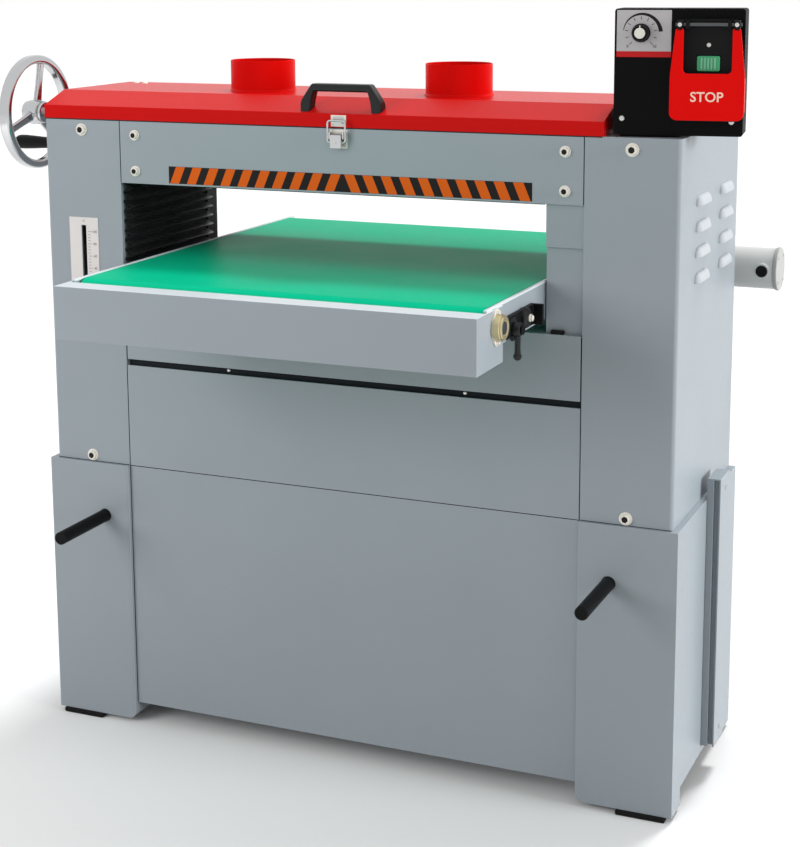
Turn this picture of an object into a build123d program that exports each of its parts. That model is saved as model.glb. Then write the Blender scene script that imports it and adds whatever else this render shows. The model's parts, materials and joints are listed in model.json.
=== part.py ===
from build123d import *
import math
import os

# All sizes are millimetres. X runs left to right as the operator sees it, Y from front to back, Z up.
# While the pieces are made, X = 0 is the middle of the bay, Y = 0 the front of the columns, Z = 0 the floor.

# Width of the machine, from the feed belt outwards
BELT_WIDTH = 635.0
DRUM_LAP = 2.5
HEAD_PLATE_GAP = 32.0
HEAD_PLATE = 8.0
BEARING_LENGTH = 16.0
BEARING_GAP = 9.0
COLUMN_WIDTH = 140.0
CABINET_STEP = 10.0

DRUM_LENGTH = BELT_WIDTH + 2 * DRUM_LAP
HEAD_PLATE_X = DRUM_LENGTH / 2 + HEAD_PLATE_GAP
PLATE_OUT = HEAD_PLATE_X + HEAD_PLATE
INNER = PLATE_OUT + BEARING_LENGTH + BEARING_GAP
OUTER = INNER + COLUMN_WIDTH
CABINET_OUTER = OUTER + CABINET_STEP

# Depth of the head, from the drums outwards
DRUM_CORE = 57.0
WRAP = 1.0
DRUM_BETWEEN = 14.0
DRUM_GAP = 2.0
PRESS_ROLLER = 11.0
PRESS_SETBACK = 20.0

DRUM_RADIUS = DRUM_CORE + WRAP
FRONT_DRUM_Y = PRESS_SETBACK + PRESS_ROLLER + DRUM_GAP + DRUM_RADIUS
REAR_DRUM_Y = FRONT_DRUM_Y + 2 * DRUM_RADIUS + DRUM_BETWEEN
HEAD_DEPTH = REAR_DRUM_Y + FRONT_DRUM_Y
PRESS_REAR_Y = HEAD_DEPTH - PRESS_SETBACK

# Frame
BASE_STEP = 58.0
FOOT_HEIGHT = 8.0
FOOT_WIDTH = 76.0
FOOT_DEPTH = 60.0
FOOT_PROUD = 4.0
FOOT_PLATE = 4.0
FOOT_INSET = 10.0
CABINET_HEIGHT = 441.0
COLUMN_HEIGHT = 567.0
CABINET_PROUD = 6.5
LEG_DEPTH = 49.5
PLINTH_HEIGHT = 28.0
PANEL_FOLD = 20.0
CORNER_ROUND = 14.0
BEND = 6.0
SHEET = 3.0
SHELF_RISE = 92.0
CUT = 1.0
HOLE_GAP = 8.0

BASE_DEPTH = HEAD_DEPTH + BASE_STEP
CABINET_TOP = FOOT_HEIGHT + CABINET_HEIGHT
HEAD_TOP = CABINET_TOP + COLUMN_HEIGHT
PANEL_BOTTOM = FOOT_HEIGHT + PLINTH_HEIGHT
SHELF_BOTTOM = FOOT_HEIGHT + SHELF_RISE
SHELF_TOP = SHELF_BOTTOM + SHEET
FOOT_X = CABINET_OUTER - FOOT_WIDTH / 2 - FOOT_INSET

# Head
BEAM_HEIGHT = 100.0
BEAM_PLATE = 5.0
BEAM_LIP = 22.0
GUARD_SHEET = 2.0
GUARD_GAP = 2.0
GUARD_HEIGHT = 63.0
GUARD_LAP = 19.0
GUARD_NOTCH = 6.0
PLATE_DROP = 6.0

BEAM_BOTTOM = HEAD_TOP - BEAM_HEIGHT
GUARD_BACK = BEAM_PLATE + GUARD_SHEET
MOVING_GUARD = GUARD_BACK + GUARD_GAP
MOVING_GUARD_BACK = MOVING_GUARD + GUARD_SHEET
PLATE_TOP = HEAD_TOP - PLATE_DROP

# Drums and hold-down rollers
DRUM_SHAFT = 12.5
DRUM_DROP = 2.0
BEARING_RADIUS = 30.0
RUNNING_FIT = 0.05
SHAFT_GAP = 4.5
SHAFT_END = 2.0
PRESS_AXLE = 5.0
PRESS_DROP = 1.5
PRESS_SEAT = 4.0

DRUM_BOTTOM = BEAM_BOTTOM - DRUM_DROP
DRUM_Z = DRUM_BOTTOM + DRUM_RADIUS
PRESS_Z = DRUM_BOTTOM - PRESS_DROP + PRESS_ROLLER
PLATE_BOTTOM = PRESS_Z - PRESS_AXLE - PRESS_SEAT

# Feed table
BELT_THICK = 2.0
BELT_PLAY = 0.4
THROAT = 112.0
MIN_STOCK = 5.0
FEED_ROLLER = 24.0
ROLLER_SHAFT = 10.0
ROLLER_END_GAP = 5.0
FRONT_ROLLER_REACH = 211.0
REAR_ROLLER_REACH = 148.0
SIDE_GAP = 3.0
SIDE_PLATE = 4.5
RAIL_END = 26.0
RAIL_DROP = 2.0
BED_PLATE = 4.0
BED_INSET = 32.0
BED_BAR = 30.0
BED_BAR_INSET = 80.0
CROSS_HEIGHT = 20.0
CROSS_WIDTH = 40.0
CROSS_GAP = 4.0
SHAFT_HOLE = 14.0

FRONT_ROLLER_Y = -FRONT_ROLLER_REACH
REAR_ROLLER_Y = HEAD_DEPTH + REAR_ROLLER_REACH
TRAVEL = THROAT - MIN_STOCK
BELT_TOP = DRUM_BOTTOM - THROAT
BELT_INSIDE = FEED_ROLLER + BELT_PLAY
BELT_OUTSIDE = BELT_INSIDE + BELT_THICK
ROLLER_Z = BELT_TOP - BELT_OUTSIDE
BELT_BOTTOM = ROLLER_Z - BELT_OUTSIDE
BED_TOP = BELT_TOP - BELT_THICK
BED_BOTTOM = BED_TOP - BED_PLATE
RAIL_IN = BELT_WIDTH / 2 + SIDE_GAP
RAIL_OUT = RAIL_IN + SIDE_PLATE
RAIL_TOP = BELT_TOP - RAIL_DROP
CROSS_TOP = BELT_BOTTOM - CROSS_GAP
CROSS_BOTTOM = CROSS_TOP - CROSS_HEIGHT
GUARD_X = RAIL_OUT + GUARD_GAP

# Apron
APRON_REACH = 70.0
APRON_HEIGHT = 79.0
APRON_SHEET = 3.0
APRON_FLANGE = 38.0
APRON_RETURN = 102.0

APRON_FRONT = FRONT_ROLLER_Y - APRON_REACH
APRON_OUT = RAIL_OUT + APRON_SHEET

# Front band panel and its skirt
SLIDE_GAP = 2.0
BAND_HEIGHT = 97.0
BAND_SHEET = 2.0
BAND_GAP = 10.2
SKIRT_SETBACK = 8.0
SKIRT_LAP = 4.0

BAND_BOTTOM = CROSS_BOTTOM - BAND_HEIGHT
UPPER_PANEL_TOP = BAND_BOTTOM - BAND_GAP
SKIRT_BOTTOM = UPPER_PANEL_TOP - TRAVEL - SKIRT_LAP

# Roller bearings, take-up and clamp lever
FLANGE_RADIUS = 24.0
FLANGE_THICK = 3.0
BOSS_RADIUS = 16.0
BOSS_LENGTH = 6.0
TAKEUP_SETBACK = 41.0
TAKEUP_LENGTH = 115.0
TAKEUP_HEIGHT = 30.0
TAKEUP_RISE = 6.0
TAKEUP_PLATE = 6.0
TAKEUP_TAB = 20.0
STUD = 4.0
STUD_HEAD = 7.0
STUD_HEAD_LENGTH = 2.5
STUD_GAP = 0.5
LEVER_SETBACK = 22.0
LEVER_RISE = 10.0
LEVER_GAP = 1.0
LEVER_HUB = 8.0
LEVER_HUB_LENGTH = 12.0
LEVER_WIDTH = 8.0
LEVER_THICK = 5.0
LEVER_LENGTH = 38.0
LEVER_BALL = 6.0

TAKEUP_FRONT = FRONT_ROLLER_Y + TAKEUP_SETBACK
LEVER_Y = TAKEUP_FRONT + LEVER_SETBACK
LEVER_Z = CROSS_TOP + TAKEUP_RISE + LEVER_RISE
LEVER_X = RAIL_OUT + TAKEUP_PLATE + LEVER_GAP
STUD_SHOULDER = LEVER_X + LEVER_HUB_LENGTH + STUD_GAP

# Feed motor
GEARBOX = 60.0
GEARBOX_HALF = 35.0
GEARBOX_BORE = 40.0
GEARBOX_SHAFT = 36.0
FEED_MOTOR_LENGTH = 178.0
FEED_MOTOR_DROP = 12.0
FEED_MOTOR = 34.5
FEED_CAP = 38.0
FEED_CAP_LENGTH = 8.0
BRUSH_CAP = 6.5
BRUSH_CAP_PROUD = 3.0
BRUSH_CAP_INSET = 16.0

FEED_MOTOR_Z = ROLLER_Z - FEED_MOTOR_DROP

# Lift
SCREW_INSET = 40.0
SCREW_SETBACK = 72.0
SCREW = 10.0
SCREW_NECK = 8.0
NUT_GAP = 0.5
NUT_RADIUS = 18.0
NUT_LENGTH = 16.0
BUSH_HALF = 20.0
BUSH_HEIGHT = 16.0
UPPER_BUSH_RISE = 19.0
UPPER_BUSH = 12.0
UPPER_SCREW_END = 3.0
SCREW_PLAY = 0.4
SCREW_FLOOR = 1.0
ARM_END = 2.0
WINDOW_GAP = 8.0
WINDOW_RISE = 20.0
WHEEL_BUSH = 20.0
WHEEL_BUSH_LOW = 24.0
WHEEL_BUSH_HIGH = 16.0
SPROCKET = 18.0
SPROCKET_RISE = 25.0
GUIDE_WIDTH = 20.0
GUIDE_DEPTH = 17.0
CHAIN_PLAY = 0.5
CHAIN_THICK = 6.0
CHAIN_HEIGHT = 8.0
BEVEL = 24.0
BEVEL_FACE = 12.0
BEVEL_GAP = 0.6

SCREW_X = INNER + SCREW_INSET
FRONT_SCREW_Y = SCREW_SETBACK
REAR_SCREW_Y = HEAD_DEPTH - SCREW_SETBACK
CHAIN_Z = CABINET_TOP + SPROCKET_RISE
UPPER_BUSH_BOTTOM = BEAM_BOTTOM + UPPER_BUSH_RISE

# Bellows
BELLOWS_DEPTH = 18.0
BELLOWS_BACK_GAP = 43.0
BELLOWS_FRONT = 6.0
BELLOWS_GUARD_SIDE = 20.0
BELLOWS_SHEET = 2.0
PLEATS = 11
END_FRAME = 34.0
END_FRAME_THICK = 5.0
END_FRAME_GAP = 1.0

BELLOWS_BACK = HEAD_DEPTH - BELLOWS_BACK_GAP

# Handwheel
WHEEL_RADIUS = 94.0
RIM_DEPTH = 14.0
RIM_WIDTH = 20.0
WHEEL_REACH = 65.0
WHEEL_SHAFT = 8.0
WHEEL_RISE = 2.0
HUB_RADIUS = 20.0
HUB_LENGTH = 38.0
SPOKE_WIDTH = 15.0
SPOKE_THICK = 9.0
GRIP_ANGLE = -42.0
GRIP_RADIUS = 12.0
GRIP_LENGTH = 73.0
GRIP_PIN = 5.0
GRIP_HEAD = 8.0
GRIP_HEAD_LENGTH = 3.0
GRIP_GAP = 3.0
GRIP_PLAY = 0.4
GRIP_ROUND = 4.0
SHAFT_NOTCH = 2.0

WHEEL_X = -OUTER - WHEEL_REACH
WHEEL_Z = HEAD_TOP + WHEEL_RISE

# Height scale
SCALE_WIDTH = 54.0
SCALE_INSET = 72.0
SCALE_TOP_DROP = 59.0
SCALE_SHEET = 1.5
SLOT_WIDTH = 9.0
POINTER_WIDTH = 5.0
POINTER_HEIGHT = 3.0
POINTER_RISE = 7.0
POINTER_PROUD = 4.0
POINTER_ROOT = 8.0
POINTER_RIB = 6.0
SLOT_LOW = 8.0
SLOT_HIGH = 2.0
SLOT_MARGIN = 6.0

SCALE_CENTRE = -INNER - SCALE_INSET
POINTER_Z = CROSS_BOTTOM + POINTER_RISE
SLOT_BOTTOM = POINTER_Z - SLOT_LOW
SLOT_TOP = POINTER_Z + TRAVEL + POINTER_HEIGHT + SLOT_HIGH

# Main drive
MOTOR_SETBACK = 185.0
MOTOR_RISE = 97.0
MOTOR_RADIUS = 88.0
MOTOR_LENGTH = 255.0
MOTOR_GAP = 8.0
MOTOR_SHAFT = 12.0
MOTOR_FOOT_WIDTH = 150.0
MOTOR_FOOT_LENGTH = 170.0
MOTOR_FOOT_THICK = 14.0
MOTOR_RIB = 60.0
MOTOR_BORE = 40.0
MOTOR_BORE_END = 5.0
PULLEY_MARGIN = 2.0
PULLEY_END_SHAFT = 3.0
BELT_SLOT = 6.0
ARM_WIDTH = 12.0
ARM_TRIM = 1.0
DRUM_PULLEY = 30.0
MOTOR_PULLEY = 46.0
PULLEY_WIDTH = 15.0
PULLEY_GAP = 8.0
PULLEY_OFFSET = 70.0
VEE_PLAY = 0.5
VEE_THICK = 8.0
VEE_WIDTH = 12.0

MOTOR_Y = MOTOR_SETBACK
MOTOR_Z = SHELF_TOP + MOTOR_RISE
PULLEY_X = INNER + PULLEY_OFFSET
SECOND_PULLEY_X = PULLEY_X + PULLEY_WIDTH + PULLEY_GAP
PULLEY_END = SECOND_PULLEY_X + PULLEY_WIDTH

# Hood
HOOD_SHEET = 2.0
HOOD_LAP = 28.0
HOOD_FLANGE = 21.0
HOOD_HEIGHT = 42.0
FRONT_RIDGE = 58.7
REAR_SLOPE = 50.0
PORT_FORWARD = 4.0
PORT_BORE = 50.0
PORT_WALL = 2.0
PORT_HEIGHT = 49.0
PORT_FLANGE = 2.5
PORT_OFFSET = 35.0
PORT_SPACING = 340.0
HANDLE_FOOT = 67.0
HANDLE_TOP_HALF = 49.0
HANDLE_Y = 15.0
HANDLE_RISE = 36.0
HANDLE_RADIUS = 7.0
HANDLE_SINK = 8.0
HANDLE_BEND = 12.0
HANDLE_PAD = 10.0

HOOD_RIGHT = INNER + HOOD_LAP
REAR_RIDGE = HEAD_DEPTH - REAR_SLOPE
PORT_Y = HEAD_DEPTH / 2 - PORT_FORWARD
PORT_MIDDLE = -PORT_OFFSET
HOOD_TOP = HEAD_TOP + HOOD_HEIGHT
FLANGE_TOP = HEAD_TOP + HOOD_FLANGE
LEFT_PORT_X = PORT_MIDDLE - PORT_SPACING / 2
RIGHT_PORT_X = PORT_MIDDLE + PORT_SPACING / 2

# Hood hinges
HINGE_X = 290.0
HINGE_HALF = 30.0
HINGE_TONGUE = 10.0
HINGE_LEAF = 2.0
HINGE_KNUCKLE = 5.0
HINGE_PIN = 2.5
HINGE_GAP = 0.5
HINGE_PLAY = 0.4
HINGE_TRIM = 1.0
LEAF_LENGTH = 24.0

HINGE_Y = HEAD_DEPTH + HINGE_GAP + HINGE_KNUCKLE
HINGE_Z = HEAD_TOP

# Hood latch
LATCH_HALF = 9.0
LATCH_EAR = 2.5
LATCH_EAR_GAP = 1.0
LATCH_WIRE = 1.6
LATCH_PIN = 1.5
LATCH_DROP = 12.0
LATCH_STAND = 7.5
LATCH_OFFSET_Y = 1.5
LATCH_OFFSET_Z = 10.0
LATCH_LENGTH = 18.0
LATCH_SHEET = 1.5
LATCH_PLATE = 2.0
LATCH_TOP = 6.0
LATCH_EYE = 1.7
LATCH_FRONT = 3.5
LATCH_LIP = 2.0
EAR_OUT = 3.0
EAR_LOW = 4.0
LOOP_LENGTH = 33.0
LOOP_HALF = 14.6
KEEPER_GAP = 0.8
KEEPER_DROP = 5.0
KEEPER_LIP = 6.0
KEEPER_LOW = 4.0
KEEPER_HIGH = 11.0

LATCH_Z = HEAD_TOP - LATCH_DROP
LOOP_Y = -LATCH_STAND - LATCH_OFFSET_Y
LOOP_Z = LATCH_Z - LATCH_OFFSET_Z

# Lifting bars
BAR_INSET = 47.0
BAR_DROP = 89.0
BAR_RADIUS = 10.4
BAR_GAP = 0.4
BAR_SLEEVE = 3.2
BAR_REACH = 133.5
BAR_TAIL = 6.0
BAR_CHAMFER = 1.5

BAR_X = INNER + BAR_INSET
BAR_Z = CABINET_TOP - BAR_DROP

# Side cover and louvres on the right
COVER_Y = 170.0
COVER_DEPTH = 60.0
COVER_GROOVE = 8.0
COVER_BOTTOM = 49.0
COVER_HEIGHT = 434.0
COVER_PROUD = 21.0
LOUVRE_LENGTH = 75.0
LOUVRE_HEIGHT = 14.0
LOUVRE_PROUD = 8.0
LOUVRE_PITCH = 38.0
LOUVRE_TOP_DROP = 98.0
LOUVRE_FIRST = 132.0
LOUVRE_SECOND = 282.0

# Bolts that show on the front
WASHER = 10.0
WASHER_THICK = 2.0
BOLT_HEAD = 6.5
BOLT_HEAD_LENGTH = 5.0
BOLT_SOCKET = 3.6
BOLT_SOCKET_DEPTH = 4.0
BEAM_BOLT_INSET = 28.5
BEAM_BOLT_TOP = 23.0
BEAM_BOLT_LOW = 80.0
COLUMN_BOLT_TOP = 17.0
COLUMN_BOLT_LOW = 11.0

# Control box, in its own frame: x to the right, y into the box, z up, from the lower left front corner
BOX_WIDTH = 180.0
BOX_HEIGHT = 176.0
BOX_DEPTH = 60.0
BOX_WALL = 3.0
BOX_YAW = 8.0
BOX_GAP = 11.0
BOX_Y = 7.5
BOX_FOOT = 3.0
BOX_ROUND = 4.0
BOX_FOOT_START = 10.0
BOX_FOOT_LENGTH = 80.0
BOX_FOOT_INSET = 4.0
KNOB_X = 37.0
KNOB_DROP = 33.5
KNOB_RADIUS = 13.0
KNOB_LENGTH = 15.0
KNOB_GAP = 1.0
KNOB_SPINDLE = 3.0
KNOB_ROUND = 2.0
KNOB_TAIL = 6.0
SWITCH_INSET = 48.0
SWITCH_HALF = 40.0
SWITCH_ROUND = 5.0
SWITCH_LOW = 22.0
SWITCH_TOP_DROP = 14.0
SWITCH_PROUD = 14.0
ROD_DROP = 21.3
ROD_STAND = 21.0
ROD_RADIUS = 2.5
LUG_HALF = 31.0
LUG_WIDTH = 5.0
LUG_ROUND = 5.0
START_WIDTH = 31.0
START_HEIGHT = 21.0
START_DROP = 74.5
START_PROUD = 3.0
START_ROUND = 2.5
BUTTON_GAP = 0.6
BUTTON_WELL = 11.0
START_BODY = 6.0
STOP_BODY = 3.0
STOP_DROP = 113.0
STOP_RADIUS = 13.0
FLAP_TOP_HALF = 44.0
FLAP_HALF = 51.0
FLAP_LOW = 24.0
FLAP_SHEET = 3.0
FLAP_STAND = 30.0
FLAP_CUT_HALF = 33.0
FLAP_CUT_DROP = 87.5
FLAP_TOP_DROP = 16.0
FLAP_CORNER = 10.0
FLAP_CORNER_RISE = 12.0
FLAP_ROD_END = 1.0
EAR_GAP = 0.5
EAR_WIDTH = 7.0
EAR_BACK = 4.0

BOX_X = HOOD_RIGHT + BOX_GAP
SWITCH_X = BOX_WIDTH - SWITCH_INSET
BOX_PLACE = Location((BOX_X, BOX_Y, HEAD_TOP + BOX_FOOT), (0, 0, BOX_YAW))
ROD_Z = BOX_HEIGHT - ROD_DROP
KNOB_Z = BOX_HEIGHT - KNOB_DROP
START_Z = BOX_HEIGHT - START_DROP
STOP_Z = BOX_HEIGHT - STOP_DROP


def slab(x0, x1, y0, y1, z0, z1):
    """A block between two corners."""
    return Pos((x0 + x1) / 2, (y0 + y1) / 2, (z0 + z1) / 2) * Box(x1 - x0, y1 - y0, z1 - z0)


def rod_x(x0, x1, y, z, radius):
    return Pos((x0 + x1) / 2, y, z) * Rot(0, 90, 0) * Cylinder(radius, x1 - x0)


def rod_y(x, y0, y1, z, radius):
    return Pos(x, (y0 + y1) / 2, z) * Rot(90, 0, 0) * Cylinder(radius, y1 - y0)


def rod_z(x, y, z0, z1, radius):
    return Pos(x, y, (z0 + z1) / 2) * Cylinder(radius, z1 - z0)


def prism_x(points, x0, x1):
    """A closed Y-Z outline pulled along X."""
    face = make_face(Polyline(*points, close=True))
    return extrude(Plane.YZ.offset(x0) * face, amount=x1 - x0)


def prism_y(points, y0, y1):
    """A closed X-Z outline pulled along Y."""
    face = make_face(Polyline(*points, close=True))
    return extrude(Plane.XZ.offset(-y0) * face, amount=y0 - y1)


def group(*pieces):
    """Separate solids that are handed over as one node."""
    return Compound([solid for piece in pieces for solid in piece.solids()])


def both(make):
    """The same piece on the left and on the right."""
    return group(make(-1), make(1))


def span(side, near, far):
    """The X limits of something between two distances from the middle, on one side."""
    return (side * near, side * far) if side > 0 else (side * far, side * near)


def loop_section(y1, z1, r1, y2, z2, r2, x0, x1):
    """What a belt round two wheels fills, wheels included."""
    reach = math.hypot(y2 - y1, z2 - z1)
    base = math.atan2(z2 - z1, y2 - y1)
    lean = math.acos((r1 - r2) / reach)
    corners = []
    for y, z, r, sign in ((y1, z1, r1, 1), (y2, z2, r2, 1), (y2, z2, r2, -1), (y1, z1, r1, -1)):
        angle = base + sign * lean
        corners.append((y + r * math.cos(angle), z + r * math.sin(angle)))
    return prism_x(corners, x0, x1) + rod_x(x0, x1, y1, z1, r1) + rod_x(x0, x1, y2, z2, r2)


def belt_loop(y1, z1, r1, y2, z2, r2, thick, x0, x1):
    outside = loop_section(y1, z1, r1 + thick, y2, z2, r2 + thick, x0, x1)
    return outside - loop_section(y1, z1, r1, y2, z2, r2, x0 - CUT, x1 + CUT)


def sleeve_x(x0, x1, y, z, radius, bore):
    """A round piece on a shaft along X, with its bore."""
    return rod_x(x0, x1, y, z, radius) - rod_x(x0 - CUT, x1 + CUT, y, z, bore)


def sleeve_z(x, y, z0, z1, radius, bore):
    """A round piece on a shaft along Z, with its bore."""
    return rod_z(x, y, z0, z1, radius) - rod_z(x, y, z0 - CUT, z1 + CUT, bore)


# Sheet-metal stand

def column_channel(side, depth):
    """The folded front, outer side and back of a column."""
    x0, x1 = span(side, INNER + SHEET, OUTER)
    body = slab(x0, x1, 0, depth, CABINET_TOP, HEAD_TOP)
    outer_edges = body.edges().filter_by(Axis.Z).group_by(Axis.X)[-1 if side > 0 else 0]
    body = fillet(outer_edges, BEND)
    h0, h1 = span(side, INNER, OUTER - SHEET)
    return body - slab(h0, h1, SHEET, depth - SHEET, CABINET_TOP - CUT, HEAD_TOP + CUT)


def folds(body, front, back):
    """A folded sheet as its front, its side and its back, which meet at the bends."""
    box = body.bounding_box()
    x0, x1 = box.min.X - CUT, box.max.X + CUT
    z0, z1 = box.min.Z - CUT, box.max.Z + CUT
    return [
        body & slab(x0, x1, front, front + SHEET, z0, z1),
        body & slab(x0, x1, front + SHEET, back - SHEET, z0, z1),
        body & slab(x0, x1, back - SHEET, back, z0, z1),
    ]


def column_plate(side, depth):
    """The plate that closes a column towards the bay, with the lift window and the chain holes."""
    x0, x1 = span(side, INNER, INNER + SHEET)
    w0, w1 = span(side, INNER - CUT, INNER + SHEET + CUT)
    body = slab(x0, x1, 0, depth, CABINET_TOP, HEAD_TOP)
    gap = BUSH_HALF + WINDOW_GAP
    low = CROSS_BOTTOM - NUT_LENGTH - WINDOW_GAP
    high = CROSS_TOP + TRAVEL + WINDOW_RISE
    body -= slab(w0, w1, FRONT_SCREW_Y - gap, REAR_SCREW_Y + gap, low, high)
    run = SPROCKET + CHAIN_PLAY + CHAIN_THICK / 2
    for y in (FRONT_SCREW_Y - run, REAR_SCREW_Y + run):
        body -= slab(w0, w1, y - CHAIN_THICK, y + CHAIN_THICK, CHAIN_Z - CHAIN_HEIGHT, CHAIN_Z + CHAIN_HEIGHT)
    return body


def left_column():
    channel = column_channel(-1, HEAD_DEPTH)
    x = SCALE_CENTRE
    channel -= slab(x - SLOT_WIDTH / 2, x + SLOT_WIDTH / 2, -CUT, SHEET + CUT, SLOT_BOTTOM, SLOT_TOP)
    gap = WHEEL_SHAFT + SHAFT_NOTCH
    y = FRONT_SCREW_Y
    channel -= slab(-OUTER - CUT, -OUTER + SHEET + CUT, y - gap, y + gap, WHEEL_Z - gap, HEAD_TOP + CUT)
    return group(*folds(channel, 0, HEAD_DEPTH), column_plate(-1, HEAD_DEPTH))


def louvre(y, z):
    """A pressed louvre, open along its lower edge."""
    half = LOUVRE_LENGTH / 2
    tall = LOUVRE_HEIGHT / 2
    lip = SHEET / 2
    outside = [(0, tall), (LOUVRE_PROUD, -tall), (0, -tall)]
    inside = [(-lip, tall - lip), (LOUVRE_PROUD - lip, -tall - CUT), (-lip, -tall - CUT)]
    hood = prism_y(outside, -half, half) - prism_y(inside, -half + lip, half - lip)
    return Pos(OUTER, y, z) * hood


def right_column():
    plate = column_plate(1, BASE_DEPTH)
    for y in (FRONT_DRUM_Y, REAR_DRUM_Y):
        plate -= rod_x(INNER - CUT, INNER + SHEET + CUT, y, DRUM_Z, DRUM_SHAFT + HOLE_GAP)
    lid = slab(INNER + SHEET, OUTER - SHEET, SHEET, BASE_DEPTH - SHEET, HEAD_TOP - SHEET, HEAD_TOP)
    louvres = []
    for y in (LOUVRE_FIRST, LOUVRE_SECOND):
        for row in range(4):
            louvres.append(louvre(y, HEAD_TOP - LOUVRE_TOP_DROP - row * LOUVRE_PITCH))
    return group(*folds(column_channel(1, BASE_DEPTH), 0, BASE_DEPTH), plate, lid, *louvres)


def cabinet_inner(side):
    """The cabinet's wall towards the bay."""
    x0, x1 = span(side, INNER, INNER + SHEET)
    return slab(x0, x1, -CABINET_PROUD, BASE_DEPTH, FOOT_HEIGHT, CABINET_TOP)


def cabinet(side, inner):
    """A folded shell and its inner wall on two foot plates, with the sleeve of a lifting bar."""
    front = -CABINET_PROUD
    x0, x1 = span(side, INNER + SHEET, CABINET_OUTER)
    shell = slab(x0, x1, front, BASE_DEPTH, FOOT_HEIGHT, CABINET_TOP)
    h0, h1 = span(side, INNER, CABINET_OUTER - SHEET)
    shell -= slab(h0, h1, front + SHEET, BASE_DEPTH - SHEET, FOOT_HEIGHT - CUT, CABINET_TOP - SHEET)
    c0, c1 = span(side, INNER - CUT, INNER + CORNER_ROUND)
    x = side * (INNER + CORNER_ROUND)
    z = FOOT_HEIGHT + CORNER_ROUND
    corner = slab(c0, c1, front - CUT, BASE_DEPTH + CUT, FOOT_HEIGHT - CUT, z)
    corner -= rod_y(x, front - 2 * CUT, BASE_DEPTH + 2 * CUT, z, CORNER_ROUND)
    leg_end = LEG_DEPTH + front
    g0, g1 = span(side, INNER - CUT, CABINET_OUTER + CUT)
    tunnel = slab(g0, g1, leg_end, BASE_DEPTH - LEG_DEPTH, FOOT_HEIGHT - CUT, PANEL_BOTTOM)
    x = side * BAR_X
    bore = BAR_RADIUS + BAR_GAP
    shell -= rod_y(x, front - CUT, BASE_DEPTH + CUT, BAR_Z, bore + BAR_SLEEVE)
    sleeve = rod_y(x, front, BASE_DEPTH, BAR_Z, bore + BAR_SLEEVE)
    sleeve -= rod_y(x, front - CUT, BASE_DEPTH + CUT, BAR_Z, bore)
    f0, f1 = span(side, FOOT_X - FOOT_WIDTH / 2, CABINET_OUTER - SHEET)
    plate_top = FOOT_HEIGHT + FOOT_PLATE
    shell = shell - corner - tunnel
    walls = shell & slab(x0, x1, front, BASE_DEPTH, FOOT_HEIGHT, CABINET_TOP - SHEET)
    return group(
        *folds(walls, front, BASE_DEPTH),
        shell & slab(x0, x1, front, BASE_DEPTH, CABINET_TOP - SHEET, CABINET_TOP),
        inner - corner - tunnel,
        sleeve,
        slab(f0, f1, front + SHEET, leg_end, FOOT_HEIGHT, plate_top),
        slab(f0, f1, BASE_DEPTH - LEG_DEPTH, BASE_DEPTH - SHEET, FOOT_HEIGHT, plate_top),
    )


def left_cabinet():
    return cabinet(-1, cabinet_inner(-1))


def right_cabinet():
    inner = cabinet_inner(1)
    inner -= rod_x(INNER - CUT, INNER + SHEET + CUT, MOTOR_Y, MOTOR_Z, MOTOR_SHAFT + HOLE_GAP)
    y0 = FRONT_DRUM_Y - DRUM_PULLEY - VEE_THICK
    y1 = REAR_DRUM_Y + DRUM_PULLEY + VEE_THICK
    x0 = PULLEY_X - BELT_SLOT
    x1 = PULLEY_END + BELT_SLOT
    slot = slab(x0, x1, y0, y1, CABINET_TOP - SHEET - CUT, CABINET_TOP + CUT)
    pieces = cabinet(1, inner).solids()
    return group(*[piece - slot for piece in pieces])


def feet():
    def pair(side):
        x0, x1 = span(side, FOOT_X - FOOT_WIDTH / 2, FOOT_X + FOOT_WIDTH / 2)
        front = -CABINET_PROUD - FOOT_PROUD
        return group(
            slab(x0, x1, front, front + FOOT_DEPTH, 0, FOOT_HEIGHT),
            slab(x0, x1, BASE_DEPTH - FOOT_DEPTH, BASE_DEPTH, 0, FOOT_HEIGHT),
        )
    return both(pair)


def lower_front_panel():
    body = slab(-INNER, INNER, 0, SHEET, PANEL_BOTTOM, CABINET_TOP)
    return body + slab(-INNER, INNER, 0, PANEL_FOLD, PANEL_BOTTOM, PANEL_BOTTOM + SHEET)


def upper_front_panel():
    return slab(-INNER, INNER, 0, SHEET, CABINET_TOP, UPPER_PANEL_TOP)


def rear_panel():
    body = slab(-INNER, INNER, BASE_DEPTH - SHEET, BASE_DEPTH, PANEL_BOTTOM, CABINET_TOP)
    body += slab(-INNER, INNER, HEAD_DEPTH - SHEET, BASE_DEPTH, CABINET_TOP - SHEET, CABINET_TOP)
    return body + slab(-INNER, INNER, HEAD_DEPTH - SHEET, HEAD_DEPTH, CABINET_TOP - SHEET, UPPER_PANEL_TOP)


def base_shelf():
    return slab(-INNER, INNER, SHEET, BASE_DEPTH - SHEET, SHELF_BOTTOM, SHELF_TOP)


def side_cover():
    x1 = CABINET_OUTER + COVER_PROUD
    top = COVER_BOTTOM + COVER_HEIGHT
    body = slab(CABINET_OUTER, x1, COVER_Y, COVER_Y + COVER_DEPTH, COVER_BOTTOM, top)
    x0 = x1 - COVER_PROUD / 2
    return body - slab(x0, x1 - SHEET, COVER_Y - CUT, COVER_Y + COVER_GROOVE, COVER_BOTTOM - CUT, top - SHEET)


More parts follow.
